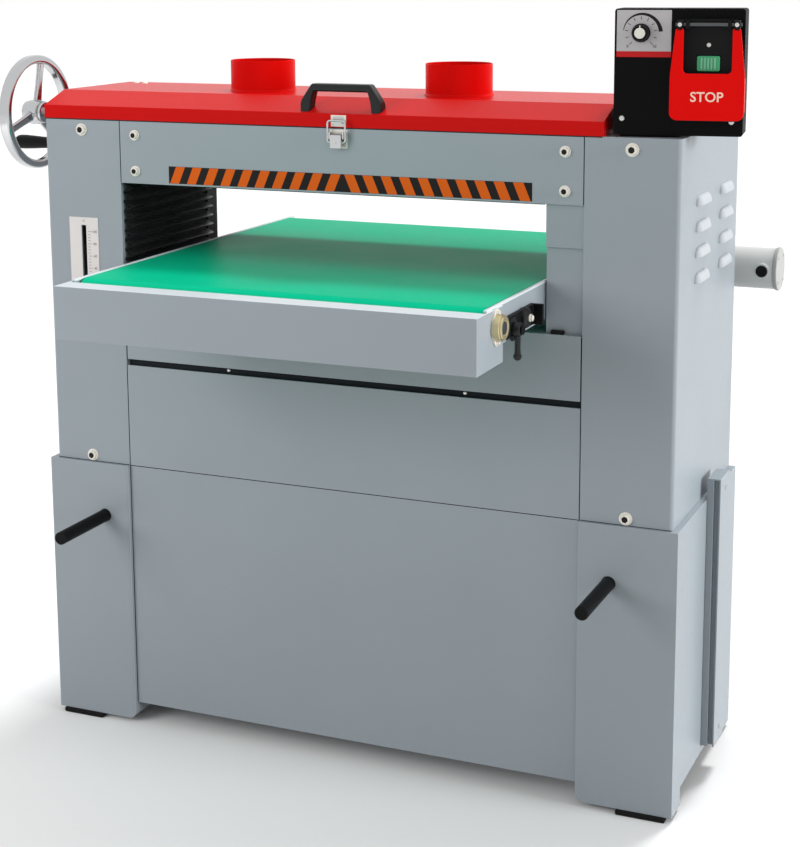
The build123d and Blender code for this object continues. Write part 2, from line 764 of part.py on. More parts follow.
def frame_bolts():
    spots = []
    for x in (-1, 1):
        for drop in (BEAM_BOLT_TOP, BEAM_BOLT_LOW):
            spots.append((x * (INNER - BEAM_BOLT_INSET), HEAD_TOP - drop))
        spots.append((x * (INNER + OUTER) / 2, HEAD_TOP - COLUMN_BOLT_TOP))
        spots.append((x * (INNER + OUTER) / 2, CABINET_TOP + COLUMN_BOLT_LOW))
    pieces = []
    tip = -WASHER_THICK - BOLT_HEAD_LENGTH
    for x, z in spots:
        bolt = rod_y(x, -WASHER_THICK, 0, z, WASHER)
        bolt += rod_y(x, tip, 0, z, BOLT_HEAD)
        pieces.append(bolt - rod_y(x, tip - CUT, tip + BOLT_SOCKET_DEPTH, z, BOLT_SOCKET))
    return group(*pieces)


# Head

def head_beams():
    front = slab(-INNER, INNER, 0, BEAM_PLATE, BEAM_BOTTOM, HEAD_TOP)
    front += slab(-INNER, INNER, 0, BEAM_LIP, HEAD_TOP - SHEET, HEAD_TOP)
    back = HEAD_DEPTH - BEAM_PLATE
    rear = slab(-INNER, INNER, back, HEAD_DEPTH, BEAM_BOTTOM, HEAD_TOP)
    rear += slab(-INNER, INNER, HEAD_DEPTH - BEAM_LIP, HEAD_DEPTH, HEAD_TOP - SHEET, HEAD_TOP)
    return group(front, rear)


def head_plates():
    guard_top = BEAM_BOTTOM + GUARD_LAP
    raised = BEAM_BOTTOM - GUARD_HEIGHT + GUARD_GAP + TRAVEL

    def plate(side):
        x0, x1 = span(side, HEAD_PLATE_X, PLATE_OUT)
        body = slab(x0, x1, BEAM_PLATE, HEAD_DEPTH - BEAM_PLATE, PLATE_BOTTOM, PLATE_TOP)
        notch = MOVING_GUARD_BACK + GUARD_GAP
        body -= slab(x0 - CUT, x1 + CUT, 0, notch, PLATE_BOTTOM - CUT, raised + GUARD_NOTCH)
        for y in (FRONT_DRUM_Y, REAR_DRUM_Y):
            body -= rod_x(x0 - CUT, x1 + CUT, y, DRUM_Z, DRUM_SHAFT + SHAFT_GAP)
        for y in (PRESS_SETBACK, PRESS_REAR_Y):
            body -= rod_x(x0 - CUT, x1 + CUT, y, PRESS_Z, PRESS_AXLE + RUNNING_FIT)
        return body

    guard = slab(GUARD_X, INNER, BEAM_PLATE, GUARD_BACK, BEAM_BOTTOM - GUARD_HEIGHT, guard_top)
    return group(plate(-1), plate(1), guard)


def drum_bearings():
    def pair(side):
        x0, x1 = span(side, PLATE_OUT, PLATE_OUT + BEARING_LENGTH)
        return group(*[
            sleeve_x(x0, x1, y, DRUM_Z, BEARING_RADIUS, DRUM_SHAFT + RUNNING_FIT)
            for y in (FRONT_DRUM_Y, REAR_DRUM_Y)
        ])
    return both(pair)


def drum(y, pulley_x):
    """A drum with its abrasive wrap and a pulley, all on one shaft."""
    half = DRUM_LENGTH / 2
    end = pulley_x + PULLEY_WIDTH
    return group(
        rod_x(-PLATE_OUT - BEARING_LENGTH - SHAFT_END, end + PULLEY_END_SHAFT, y, DRUM_Z, DRUM_SHAFT),
        sleeve_x(-half, half, y, DRUM_Z, DRUM_CORE, DRUM_SHAFT),
        sleeve_x(-half, half, y, DRUM_Z, DRUM_RADIUS, DRUM_CORE),
        sleeve_x(pulley_x, end, y, DRUM_Z, DRUM_PULLEY, DRUM_SHAFT),
    )


def hold_down_roller(y):
    half = DRUM_LENGTH / 2
    reach = PLATE_OUT + SHAFT_END
    return group(
        rod_x(-reach, reach, y, PRESS_Z, PRESS_AXLE),
        sleeve_x(-half, half, y, PRESS_Z, PRESS_ROLLER, PRESS_AXLE),
    )


def main_motor():
    x1 = INNER - MOTOR_GAP
    x0 = x1 - MOTOR_LENGTH
    middle = (x0 + x1) / 2
    half = MOTOR_FOOT_LENGTH / 2
    wide = MOTOR_FOOT_WIDTH / 2
    rib = MOTOR_RIB / 2
    body = rod_x(x0, x1, MOTOR_Y, MOTOR_Z, MOTOR_RADIUS)
    top = SHELF_TOP + MOTOR_FOOT_THICK
    body += slab(middle - half, middle + half, MOTOR_Y - wide, MOTOR_Y + wide, SHELF_TOP, top)
    body += slab(middle - half, middle + half, MOTOR_Y - rib, MOTOR_Y + rib, SHELF_TOP, MOTOR_Z)
    return body - rod_x(x1 - MOTOR_BORE, x1 + CUT, MOTOR_Y, MOTOR_Z, MOTOR_SHAFT + RUNNING_FIT)


def motor_pulley():
    start = INNER - MOTOR_GAP - MOTOR_BORE + MOTOR_BORE_END
    x0 = PULLEY_X - PULLEY_MARGIN
    x1 = PULLEY_END + PULLEY_MARGIN
    return group(
        rod_x(start, x1 + CUT, MOTOR_Y, MOTOR_Z, MOTOR_SHAFT),
        sleeve_x(x0, x1, MOTOR_Y, MOTOR_Z, MOTOR_PULLEY, MOTOR_SHAFT),
    )


def drive_belts():
    """Two belts, each with the arm that carries it beside its upper pulley."""
    inside = DRUM_PULLEY + VEE_PLAY
    low = MOTOR_PULLEY + VEE_PLAY
    half = ARM_WIDTH / 2
    pieces = []
    for y, x in ((FRONT_DRUM_Y, PULLEY_X), (REAR_DRUM_Y, SECOND_PULLEY_X)):
        x0 = x + (PULLEY_WIDTH - VEE_WIDTH) / 2
        pieces.append(belt_loop(y, DRUM_Z, inside, MOTOR_Y, MOTOR_Z, low, VEE_THICK, x0, x0 + VEE_WIDTH))
        z = DRUM_Z + inside
        pieces.append(slab(INNER + SHEET, x0, y - half, y + half, z + ARM_TRIM, z + VEE_THICK - ARM_TRIM))
    return group(*pieces)


# Feed table

def table_frame():
    front = FRONT_ROLLER_Y - RAIL_END
    back = REAR_ROLLER_Y + RAIL_END
    body = slab(-RAIL_IN, RAIL_IN, FRONT_ROLLER_Y + BED_INSET, REAR_ROLLER_Y - BED_INSET, BED_BOTTOM, BED_TOP)
    middle = (FRONT_ROLLER_Y + REAR_ROLLER_Y) / 2
    half = BED_BAR / 2
    for y in (FRONT_ROLLER_Y + BED_BAR_INSET, middle, REAR_ROLLER_Y - BED_BAR_INSET):
        body += slab(-RAIL_IN, RAIL_IN, y - half, y + half, BED_BOTTOM - BED_BAR, BED_BOTTOM)
    for side in (-1, 1):
        x0, x1 = span(side, RAIL_IN, RAIL_OUT)
        body += slab(x0, x1, front, back, CROSS_TOP, RAIL_TOP)
    reach = SCREW_X + BUSH_HALF + ARM_END
    wide = CROSS_WIDTH / 2
    low = CROSS_BOTTOM - NUT_LENGTH
    for y in (FRONT_SCREW_Y, REAR_SCREW_Y):
        body += slab(-reach, reach, y - wide, y + wide, CROSS_BOTTOM, CROSS_TOP)
        for x in (-SCREW_X, SCREW_X):
            body += rod_z(x, y, low, CROSS_TOP, NUT_RADIUS)
            body -= rod_z(x, y, low - CUT, CROSS_TOP + CUT, SCREW + NUT_GAP)
    for y in (FRONT_ROLLER_Y, REAR_ROLLER_Y):
        for side in (-1, 1):
            x0, x1 = span(side, RAIL_IN - CUT, RAIL_OUT + CUT)
            body -= rod_x(x0, x1, y, ROLLER_Z, SHAFT_HOLE)
    x = SCALE_CENTRE
    half = POINTER_WIDTH / 2
    root = FRONT_SCREW_Y - wide
    deep = root + POINTER_ROOT
    top = POINTER_Z + POINTER_HEIGHT
    body += slab(x - half, x + half, -SCALE_SHEET - POINTER_PROUD, deep, POINTER_Z, top)
    return body + slab(x - half, -reach, root, deep, POINTER_Z, top + POINTER_RIB)


def apron():
    top = RAIL_TOP
    bottom = top - APRON_HEIGHT
    body = slab(-APRON_OUT, APRON_OUT, APRON_FRONT, APRON_FRONT + APRON_SHEET, bottom, top)
    body += slab(-APRON_OUT, APRON_OUT, APRON_FRONT, APRON_FRONT + APRON_FLANGE, top - APRON_SHEET, top)
    for side in (-1, 1):
        x0, x1 = span(side, RAIL_OUT, APRON_OUT)
        body += slab(x0, x1, APRON_FRONT, APRON_FRONT + APRON_RETURN, bottom, top)
        body -= rod_x(x0 - CUT, x1 + CUT, FRONT_ROLLER_Y, ROLLER_Z, SHAFT_HOLE)
    return body


def conveyor_belt():
    half = BELT_WIDTH / 2
    return belt_loop(FRONT_ROLLER_Y, ROLLER_Z, BELT_INSIDE, REAR_ROLLER_Y, ROLLER_Z, BELT_INSIDE,
                     BELT_THICK, -half, half)


def band_panel():
    """The front band with its hidden skirt, and the guard that slides behind the fixed one."""
    half = INNER - SLIDE_GAP
    top = CROSS_BOTTOM
    body = slab(-half, half, 0, BAND_SHEET, BAND_BOTTOM, top)
    body += slab(-half, half, 0, FRONT_SCREW_Y + CROSS_WIDTH / 2, top - SHEET, top)
    body += slab(-half, half, SKIRT_SETBACK, SKIRT_SETBACK + BAND_SHEET, SKIRT_BOTTOM, top)
    guard_top = BEAM_BOTTOM - GUARD_HEIGHT + GUARD_GAP
    guard = slab(GUARD_X, half, MOVING_GUARD, MOVING_GUARD_BACK, top, guard_top)
    return group(body, guard)


def roller_bearings():
    def pair(side):
        pieces = []
        for y, face in ((FRONT_ROLLER_Y, APRON_OUT), (REAR_ROLLER_Y, RAIL_OUT)):
            x0, x1 = span(side, face, face + FLANGE_THICK)
            b0, b1 = span(side, face, face + FLANGE_THICK + BOSS_LENGTH)
            unit = rod_x(x0, x1, y, ROLLER_Z, FLANGE_RADIUS) + rod_x(b0, b1, y, ROLLER_Z, BOSS_RADIUS)
            pieces.append(unit - rod_x(b0 - CUT, b1 + CUT, y, ROLLER_Z, ROLLER_SHAFT + RUNNING_FIT))
        return group(*pieces)
    return both(pair)


def feed_roller(y, face, right_reach):
    """A roller whose shaft runs in the bearings on the given outer face, and on past the right one."""
    half = BELT_WIDTH / 2 - ROLLER_END_GAP / 2
    end = face + FLANGE_THICK + BOSS_LENGTH
    return group(
        rod_x(-end - SHAFT_END, end + right_reach, y, ROLLER_Z, ROLLER_SHAFT),
        sleeve_x(-half, half, y, ROLLER_Z, FEED_ROLLER, ROLLER_SHAFT),
    )


def takeup_brackets():
    def bracket(side):
        x0, x1 = span(side, RAIL_OUT, RAIL_OUT + TAKEUP_PLATE)
        t0, t1 = span(side, RAIL_OUT, RAIL_OUT + TAKEUP_TAB)
        z0 = CROSS_TOP + TAKEUP_RISE
        back = TAKEUP_FRONT + TAKEUP_LENGTH
        body = slab(x0, x1, TAKEUP_FRONT, back, z0, z0 + TAKEUP_HEIGHT)
        return body + slab(t0, t1, back - TAKEUP_PLATE, back, z0, z0 + TAKEUP_HEIGHT)

    start = RAIL_OUT + TAKEUP_PLATE
    stud = rod_x(start, STUD_SHOULDER, LEVER_Y, LEVER_Z, STUD)
    head = rod_x(STUD_SHOULDER, STUD_SHOULDER + STUD_HEAD_LENGTH, LEVER_Y, LEVER_Z, STUD_HEAD)
    return group(bracket(-1), bracket(1), stud + head)


def clamp_lever():
    x1 = LEVER_X + LEVER_HUB_LENGTH
    middle = (LEVER_X + x1) / 2
    thick = LEVER_THICK / 2
    wide = LEVER_WIDTH / 2
    end = LEVER_Z - LEVER_LENGTH
    body = rod_x(LEVER_X, x1, LEVER_Y, LEVER_Z, LEVER_HUB)
    body += slab(middle - thick, middle + thick, LEVER_Y - wide, LEVER_Y + wide, end, LEVER_Z)
    body += Pos(middle, LEVER_Y, end) * Sphere(LEVER_BALL)
    return body - rod_x(LEVER_X - CUT, x1 + CUT, LEVER_Y, LEVER_Z, STUD + RUNNING_FIT)


def gear_motor():
    """The gearbox on the drive roller's shaft, and its motor a little lower."""
    x0 = RAIL_OUT + FLANGE_THICK + BOSS_LENGTH
    x1 = x0 + GEARBOX
    x2 = x1 + FEED_MOTOR_LENGTH
    y = REAR_ROLLER_Y
    half = GEARBOX_HALF
    z = FEED_MOTOR_Z
    box = slab(x0, x1, y - half, y + half, ROLLER_Z - half - FEED_MOTOR_DROP, ROLLER_Z + half)
    box -= rod_x(x0 - CUT, x0 + GEARBOX_BORE, y, ROLLER_Z, ROLLER_SHAFT + RUNNING_FIT)
    motor = rod_x(x1, x2, y, z, FEED_MOTOR)
    cap = rod_x(x2, x2 + FEED_CAP_LENGTH, y, z, FEED_CAP)
    brush = rod_y(x2 - BRUSH_CAP_INSET, y - FEED_MOTOR - BRUSH_CAP_PROUD, y, z, BRUSH_CAP)
    return group(box, motor + brush, cap)


def scale_plate():
    x = SCALE_CENTRE
    half = SCALE_WIDTH / 2
    body = slab(x - half, x + half, -SCALE_SHEET, 0, SLOT_BOTTOM - SLOT_MARGIN, BEAM_BOTTOM - SCALE_TOP_DROP)
    wide = SLOT_WIDTH / 2
    return body - slab(x - wide, x + wide, -SCALE_SHEET - CUT, CUT, SLOT_BOTTOM, SLOT_TOP)


def bellows():
    """Pleated covers of the lift windows, with the fixed frame strip behind each."""
    step = (BEAM_BOTTOM - CROSS_TOP) / (2 * PLEATS)

    def cover(side):
        front = BELLOWS_FRONT if side < 0 else BELLOWS_GUARD_SIDE
        near = []
        for fold in range(2 * PLEATS + 1):
            inset = 0.0 if fold % 2 == 0 else BELLOWS_DEPTH - BELLOWS_SHEET
            near.append((INNER - BELLOWS_SHEET - inset, CROSS_TOP + fold * step))
        far = [(x + BELLOWS_SHEET, z) for x, z in reversed(near)]
        points = [(side * x, z) for x, z in near + far]
        f0, f1 = span(side, INNER - END_FRAME_THICK, INNER)
        start = BELLOWS_BACK + END_FRAME_GAP
        frame = slab(f0, f1, start, start + END_FRAME, CROSS_BOTTOM, BEAM_BOTTOM)
        return group(prism_y(points, front, BELLOWS_BACK), frame)
    return both(cover)


# Lift

def lift_bushes():
    """Screw bushes, the handwheel's bush and the two guides that the chain runs along."""
    bore = SCREW_NECK + RUNNING_FIT
    half = BUSH_HALF
    low = CABINET_TOP
    high = UPPER_BUSH_BOTTOM
    pieces = []
    for side in (-1, 1):
        x = side * SCREW_X
        x0, x1 = span(side, INNER + SHEET, SCREW_X + half)
        for y in (FRONT_SCREW_Y, REAR_SCREW_Y):
            foot = slab(x - half, x + half, y - half, y + half, low, low + BUSH_HEIGHT)
            pieces.append(foot - rod_z(x, y, low - CUT, low + BUSH_HEIGHT + CUT, bore))
            top = slab(x0, x1, y - half, y + half, high, high + UPPER_BUSH)
            pieces.append(top - rod_z(x, y, high - CUT, high + UPPER_BUSH + CUT, bore))
        g0, g1 = span(side, INNER - GUIDE_WIDTH, INNER)
        face = FRONT_SCREW_Y - SPROCKET - CHAIN_PLAY - CHAIN_THICK
        guide = slab(g0, g1, face - GUIDE_DEPTH, face, CHAIN_Z - CHAIN_HEIGHT, CHAIN_Z + CHAIN_HEIGHT)
        pieces.append(guide)
    x0 = -OUTER + SHEET
    x1 = x0 + WHEEL_BUSH
    y = FRONT_SCREW_Y
    wheel = slab(x0, x1, y - half, y + half, WHEEL_Z - WHEEL_BUSH_LOW, WHEEL_Z + WHEEL_BUSH_HIGH)
    pieces.append(wheel - rod_x(x0 - CUT, x1 + CUT, y, WHEEL_Z, WHEEL_SHAFT + RUNNING_FIT))
    return group(*pieces)


def lift_chain():
    inner = SPROCKET + CHAIN_PLAY
    outer = inner + CHAIN_THICK
    deep = REAR_SCREW_Y - FRONT_SCREW_Y
    ring = RectangleRounded(2 * SCREW_X + 2 * outer, deep + 2 * outer, outer)
    ring -= RectangleRounded(2 * SCREW_X + 2 * inner, deep + 2 * inner, inner)
    place = Pos(0, (FRONT_SCREW_Y + REAR_SCREW_Y) / 2, CHAIN_Z - CHAIN_HEIGHT / 2)
    return extrude(place * ring, amount=CHAIN_HEIGHT)


def bevel_gear(bore):
    """A bevel gear blank with its small end up, centred on its face."""
    blank = Cone(BEVEL - BEVEL_GAP, BEVEL - BEVEL_FACE - BEVEL_GAP, BEVEL_FACE)
    return blank - Cylinder(bore, BEVEL_FACE + 2 * CUT)


def lift_screw(side, y, driven):
    x = side * SCREW_X
    seat = CABINET_TOP + BUSH_HEIGHT + SCREW_PLAY
    bush = UPPER_BUSH_BOTTOM
    top = WHEEL_Z - BEVEL + BEVEL_FACE if driven else bush + UPPER_BUSH + UPPER_SCREW_END
    body = rod_z(x, y, CABINET_TOP + SCREW_FLOOR, top, SCREW_NECK)
    body += rod_z(x, y, seat, bush - SCREW_PLAY, SCREW)
    half = CHAIN_HEIGHT / 2
    pieces = [body, sleeve_z(x, y, CHAIN_Z - half, CHAIN_Z + half, SPROCKET, SCREW)]
    if driven:
        pieces.append(Pos(x, y, WHEEL_Z - BEVEL + BEVEL_FACE / 2) * bevel_gear(SCREW_NECK))
    return group(*pieces)


def spoke(angle):
    reach = WHEEL_RADIUS - RIM_DEPTH / 2
    arm = Pos(0, reach / 2, 0) * Box(SPOKE_THICK, reach, SPOKE_WIDTH)
    return Pos(WHEEL_X, FRONT_SCREW_Y, WHEEL_Z) * Rot(angle, 0, 0) * arm


def grip_place():
    """Where the crank grip stands, in Y and Z."""
    reach = WHEEL_RADIUS - RIM_DEPTH / 2
    turn = math.radians(GRIP_ANGLE)
    return FRONT_SCREW_Y + reach * math.cos(turn), WHEEL_Z + reach * math.sin(turn)


def handwheel():
    """The wheel with its grip pin, and the shaft with its bevel pinion."""
    y, z = FRONT_SCREW_Y, WHEEL_Z
    half = RIM_WIDTH / 2
    rim = rod_x(WHEEL_X - half, WHEEL_X + half, y, z, WHEEL_RADIUS)
    rim -= rod_x(WHEEL_X - half - CUT, WHEEL_X + half + CUT, y, z, WHEEL_RADIUS - RIM_DEPTH)
    wheel = fillet(rim.edges().filter_by(GeomType.CIRCLE), RIM_DEPTH / 3)
    for step in range(3):
        wheel += spoke(GRIP_ANGLE + 120 * step)
    hub = HUB_LENGTH / 2
    wheel += rod_x(WHEEL_X - hub, WHEEL_X + hub, y, z, HUB_RADIUS)
    gy, gz = grip_place()
    out = WHEEL_X - half - GRIP_GAP - GRIP_LENGTH - GRIP_PLAY
    pin = rod_x(out, WHEEL_X - half, gy, gz, GRIP_PIN)
    pin += rod_x(out - GRIP_HEAD_LENGTH, out, gy, gz, GRIP_HEAD)
    gear_x = -SCREW_X - BEVEL + BEVEL_FACE / 2
    shaft = rod_x(WHEEL_X + hub, gear_x + BEVEL_FACE / 2, y, z, WHEEL_SHAFT)
    pinion = Pos(gear_x, y, z) * Rot(0, 90, 0) * bevel_gear(WHEEL_SHAFT)
    return group(wheel, pin, shaft, pinion)


def crank_grip():
    gy, gz = grip_place()
    x1 = WHEEL_X - RIM_WIDTH / 2 - GRIP_GAP
    x0 = x1 - GRIP_LENGTH
    body = rod_x(x0, x1, gy, gz, GRIP_RADIUS)
    body = fillet(body.edges().filter_by(GeomType.CIRCLE), GRIP_ROUND)
    return body - rod_x(x0 - CUT, x1 + CUT, gy, gz, GRIP_PIN + RUNNING_FIT)


# Hood

def hood_outline(inset, bottom):
    slope = (HOOD_HEIGHT - HOOD_FLANGE) / FRONT_RIDGE
    back_slope = (HOOD_HEIGHT - HOOD_FLANGE) / REAR_SLOPE
    top = HOOD_TOP - inset
    return [
        (inset, bottom),
        (inset, FLANGE_TOP + inset * slope - inset),
        (FRONT_RIDGE, top),
        (REAR_RIDGE, top),
        (HEAD_DEPTH - inset, FLANGE_TOP + inset * back_slope - inset),
        (HEAD_DEPTH - inset, bottom),
    ]


def hood():
    body = prism_x(hood_outline(0, HEAD_TOP), -OUTER, HOOD_RIGHT)
    body -= prism_x(hood_outline(HOOD_SHEET, HEAD_TOP - CUT), -OUTER + HOOD_SHEET, HOOD_RIGHT - HOOD_SHEET)
    for x in (LEFT_PORT_X, RIGHT_PORT_X):
        body -= rod_z(x, PORT_Y, HOOD_TOP - HOOD_SHEET - CUT, HOOD_TOP + CUT, PORT_BORE)
    gap = WHEEL_SHAFT + SHAFT_NOTCH
    y = FRONT_SCREW_Y
    end = -OUTER + HOOD_SHEET + CUT
    return body - slab(-OUTER - CUT, end, y - gap, y + gap, HEAD_TOP - CUT, WHEEL_Z + gap)


def dust_ports():
    def port(x):
        outer = PORT_BORE + PORT_WALL
        body = rod_z(x, PORT_Y, HOOD_TOP, HOOD_TOP + PORT_HEIGHT, outer)
        body += rod_z(x, PORT_Y, HOOD_TOP, HOOD_TOP + SHEET, outer + PORT_FLANGE)
        return body - rod_z(x, PORT_Y, HOOD_TOP - CUT, HOOD_TOP + PORT_HEIGHT + CUT, PORT_BORE)
    return group(port(LEFT_PORT_X), port(RIGHT_PORT_X))


def hood_handle():
    slope = (HOOD_HEIGHT - HOOD_FLANGE) / FRONT_RIDGE
    foot_z = FLANGE_TOP + HANDLE_Y * slope
    top_z = foot_z + HANDLE_RISE
    path = FilletPolyline(
        (-HANDLE_FOOT, HANDLE_Y, foot_z - HANDLE_SINK),
        (-HANDLE_TOP_HALF, HANDLE_Y, top_z),
        (HANDLE_TOP_HALF, HANDLE_Y, top_z),
        (HANDLE_FOOT, HANDLE_Y, foot_z - HANDLE_SINK),
        radius=HANDLE_BEND,
    )
    body = sweep(Plane(path @ 0, z_dir=path % 0) * Circle(HANDLE_RADIUS), path=path)
    for x in (-HANDLE_FOOT, HANDLE_FOOT):
        body += Pos(x, HANDLE_Y, foot_z) * Sphere(HANDLE_PAD)
    return body - prism_x(hood_outline(0, HEAD_TOP), -2 * HANDLE_FOOT, 2 * HANDLE_FOOT)


def hood_hinges():
    def leaf(side):
        x = side * HINGE_X
        y = HEAD_DEPTH
        back = y + HINGE_LEAF
        top = FLANGE_TOP - HINGE_TRIM
        body = slab(x - HINGE_HALF, x + HINGE_HALF, y, back, HINGE_Z + HINGE_KNUCKLE + HINGE_TRIM, top)
        for turn in (-1, 1):
            x0, x1 = span(turn, HINGE_TONGUE + HINGE_PLAY, HINGE_HALF)
            body += slab(x + x0, x + x1, y, back, HINGE_Z + HINGE_TRIM, top)
            body += rod_x(x + x0, x + x1, HINGE_Y, HINGE_Z, HINGE_KNUCKLE)
        end = HINGE_HALF + CUT
        return body - rod_x(x - end, x + end, HINGE_Y, HINGE_Z, HINGE_PIN + RUNNING_FIT)
    return both(leaf)


def hinge_bases():
    def leaf(side):
        x = side * HINGE_X
        y = HEAD_DEPTH
        back = y + HINGE_LEAF
        low = HINGE_Z - HINGE_KNUCKLE - HINGE_TRIM
        body = slab(x - HINGE_HALF, x + HINGE_HALF, y, back, low - LEAF_LENGTH, low)
        body += slab(x - HINGE_TONGUE, x + HINGE_TONGUE, y, back, low, HINGE_Z - HINGE_TRIM)
        body += rod_x(x - HINGE_TONGUE, x + HINGE_TONGUE, HINGE_Y, HINGE_Z, HINGE_KNUCKLE)
        end = HINGE_HALF + HINGE_TRIM
        return body + rod_x(x - end, x + end, HINGE_Y, HINGE_Z, HINGE_PIN)
    return both(leaf)


def latch_base():
    ear = LATCH_HALF + LATCH_EAR_GAP
    out = ear + LATCH_EAR
    top = LATCH_Z + LATCH_TOP
    body = slab(-out, out, -LATCH_PLATE, 0, LATCH_Z - LATCH_LENGTH, top)
    for side in (-1, 1):
        x0, x1 = span(side, ear, out)
        body += slab(x0, x1, -LATCH_STAND - EAR_OUT, 0, LATCH_Z - EAR_LOW, top)
    return body + rod_x(-out, out, -LATCH_STAND, LATCH_Z, LATCH_PIN)


def latch_lever():
    half = LATCH_HALF
    y0 = LOOP_Y - LATCH_FRONT
    body = slab(-half, half, y0, y0 + LATCH_SHEET, LATCH_Z - LATCH_LENGTH, LATCH_Z + LATCH_LIP)
    body += slab(-half, half, y0, -LATCH_STAND, LATCH_Z - LATCH_LIP, LATCH_Z + LATCH_LIP)
    body += rod_x(-half, half, -LATCH_STAND, LATCH_Z, LATCH_PIN + LATCH_EYE)
    body += rod_x(-half, half, LOOP_Y, LOOP_Z, LATCH_WIRE + LATCH_EYE)
    body -= rod_x(-half - CUT, half + CUT, -LATCH_STAND, LATCH_Z, LATCH_PIN + RUNNING_FIT)
    return body - rod_x(-half - CUT, half + CUT, LOOP_Y, LOOP_Z, LATCH_WIRE + RUNNING_FIT)


def latch_loop():
    top = LOOP_Z + LOOP_LENGTH
    body = rod_x(-LOOP_HALF, LOOP_HALF, LOOP_Y, LOOP_Z, LATCH_WIRE)
    body += rod_x(-LOOP_HALF, LOOP_HALF, LOOP_Y, top, LATCH_WIRE)
    for x in (-LOOP_HALF, LOOP_HALF):
        body += rod_z(x, LOOP_Y, LOOP_Z, top, LATCH_WIRE)
        body += Pos(x, LOOP_Y, LOOP_Z) * Sphere(LATCH_WIRE) + Pos(x, LOOP_Y, top) * Sphere(LATCH_WIRE)
    return body


def latch_keeper():
    """A hook plate whose lip stands just behind the wire loop."""
    half = LATCH_HALF
    lip = LOOP_Y + LATCH_WIRE + KEEPER_GAP
    low = LOOP_Z + LOOP_LENGTH - KEEPER_DROP
    body = slab(-half, half, -LATCH_SHEET, 0, low - KEEPER_LOW, low + KEEPER_HIGH)
    body += slab(-half, half, lip, 0, low, low + LATCH_SHEET)
    return body + slab(-half, half, lip, lip + LATCH_SHEET, low, low + KEEPER_LIP)


# Lifting bars

def lifting_bar(side):
    body = rod_y(side * BAR_X, -CABINET_PROUD - BAR_REACH, BASE_DEPTH + BAR_TAIL, BAR_Z, BAR_RADIUS)
    return chamfer(body.edges().filter_by(GeomType.CIRCLE), BAR_CHAMFER)


# Control box

def control_box():
    body = slab(0, BOX_WIDTH, 0, BOX_DEPTH, 0, BOX_HEIGHT)
    body = fillet(body.edges().filter_by(Axis.Y), BOX_ROUND)
    wall = BOX_WALL
    body -= slab(wall, BOX_WIDTH - wall, wall, BOX_DEPTH - wall, wall, BOX_HEIGHT - wall)
    body -= rod_y(KNOB_X, -CUT, wall + CUT, KNOB_Z, KNOB_SPINDLE + RUNNING_FIT)
    x1 = BOX_FOOT_START + BOX_FOOT_LENGTH
    foot = slab(BOX_FOOT_START, x1, BOX_FOOT_INSET, BOX_DEPTH - BOX_FOOT_INSET, -BOX_FOOT, 0)
    return BOX_PLACE * (body + foot)


def switch_base():
    top = BOX_HEIGHT - SWITCH_TOP_DROP
    face = -SWITCH_PROUD
    body = slab(SWITCH_X - SWITCH_HALF, SWITCH_X + SWITCH_HALF, face, 0, SWITCH_LOW, top)
    body = fillet(body.edges().filter_by(Axis.Y), SWITCH_ROUND)
    lugs = []
    for side in (-1, 1):
        x0, x1 = span(side, LUG_HALF - LUG_WIDTH, LUG_HALF)
        x0, x1 = SWITCH_X + x0, SWITCH_X + x1
        lug = slab(x0, x1, -ROD_STAND - LUG_ROUND, face, ROD_Z - LUG_ROUND, ROD_Z + LUG_ROUND)
        lugs.append(lug - rod_x(x0 - CUT, x1 + CUT, -ROD_STAND, ROD_Z, ROD_RADIUS + RUNNING_FIT))
    half = START_WIDTH / 2 + BUTTON_GAP
    tall = START_HEIGHT / 2 + BUTTON_GAP
    deep = face + BUTTON_WELL
    body -= slab(SWITCH_X - half, SWITCH_X + half, face - CUT, deep, START_Z - tall, START_Z + tall)
    body -= rod_y(SWITCH_X, face - CUT, deep, STOP_Z, STOP_RADIUS + BUTTON_GAP)
    return BOX_PLACE * group(body, *lugs)


def start_button():
    half = START_WIDTH / 2
    tall = START_HEIGHT / 2
    front = -SWITCH_PROUD - START_PROUD
    back = -SWITCH_PROUD + START_BODY
    body = slab(SWITCH_X - half, SWITCH_X + half, front, back, START_Z - tall, START_Z + tall)
    return BOX_PLACE * fillet(body.edges().filter_by(Axis.Y), START_ROUND)


def stop_button():
    front = -FLAP_STAND + FLAP_SHEET + BUTTON_GAP
    return BOX_PLACE * rod_y(SWITCH_X, front, -SWITCH_PROUD + STOP_BODY, STOP_Z, STOP_RADIUS)


def flap_rod():
    reach = FLAP_TOP_HALF + FLAP_ROD_END
    return BOX_PLACE * rod_x(SWITCH_X - reach, SWITCH_X + reach, -ROD_STAND, ROD_Z, ROD_RADIUS)


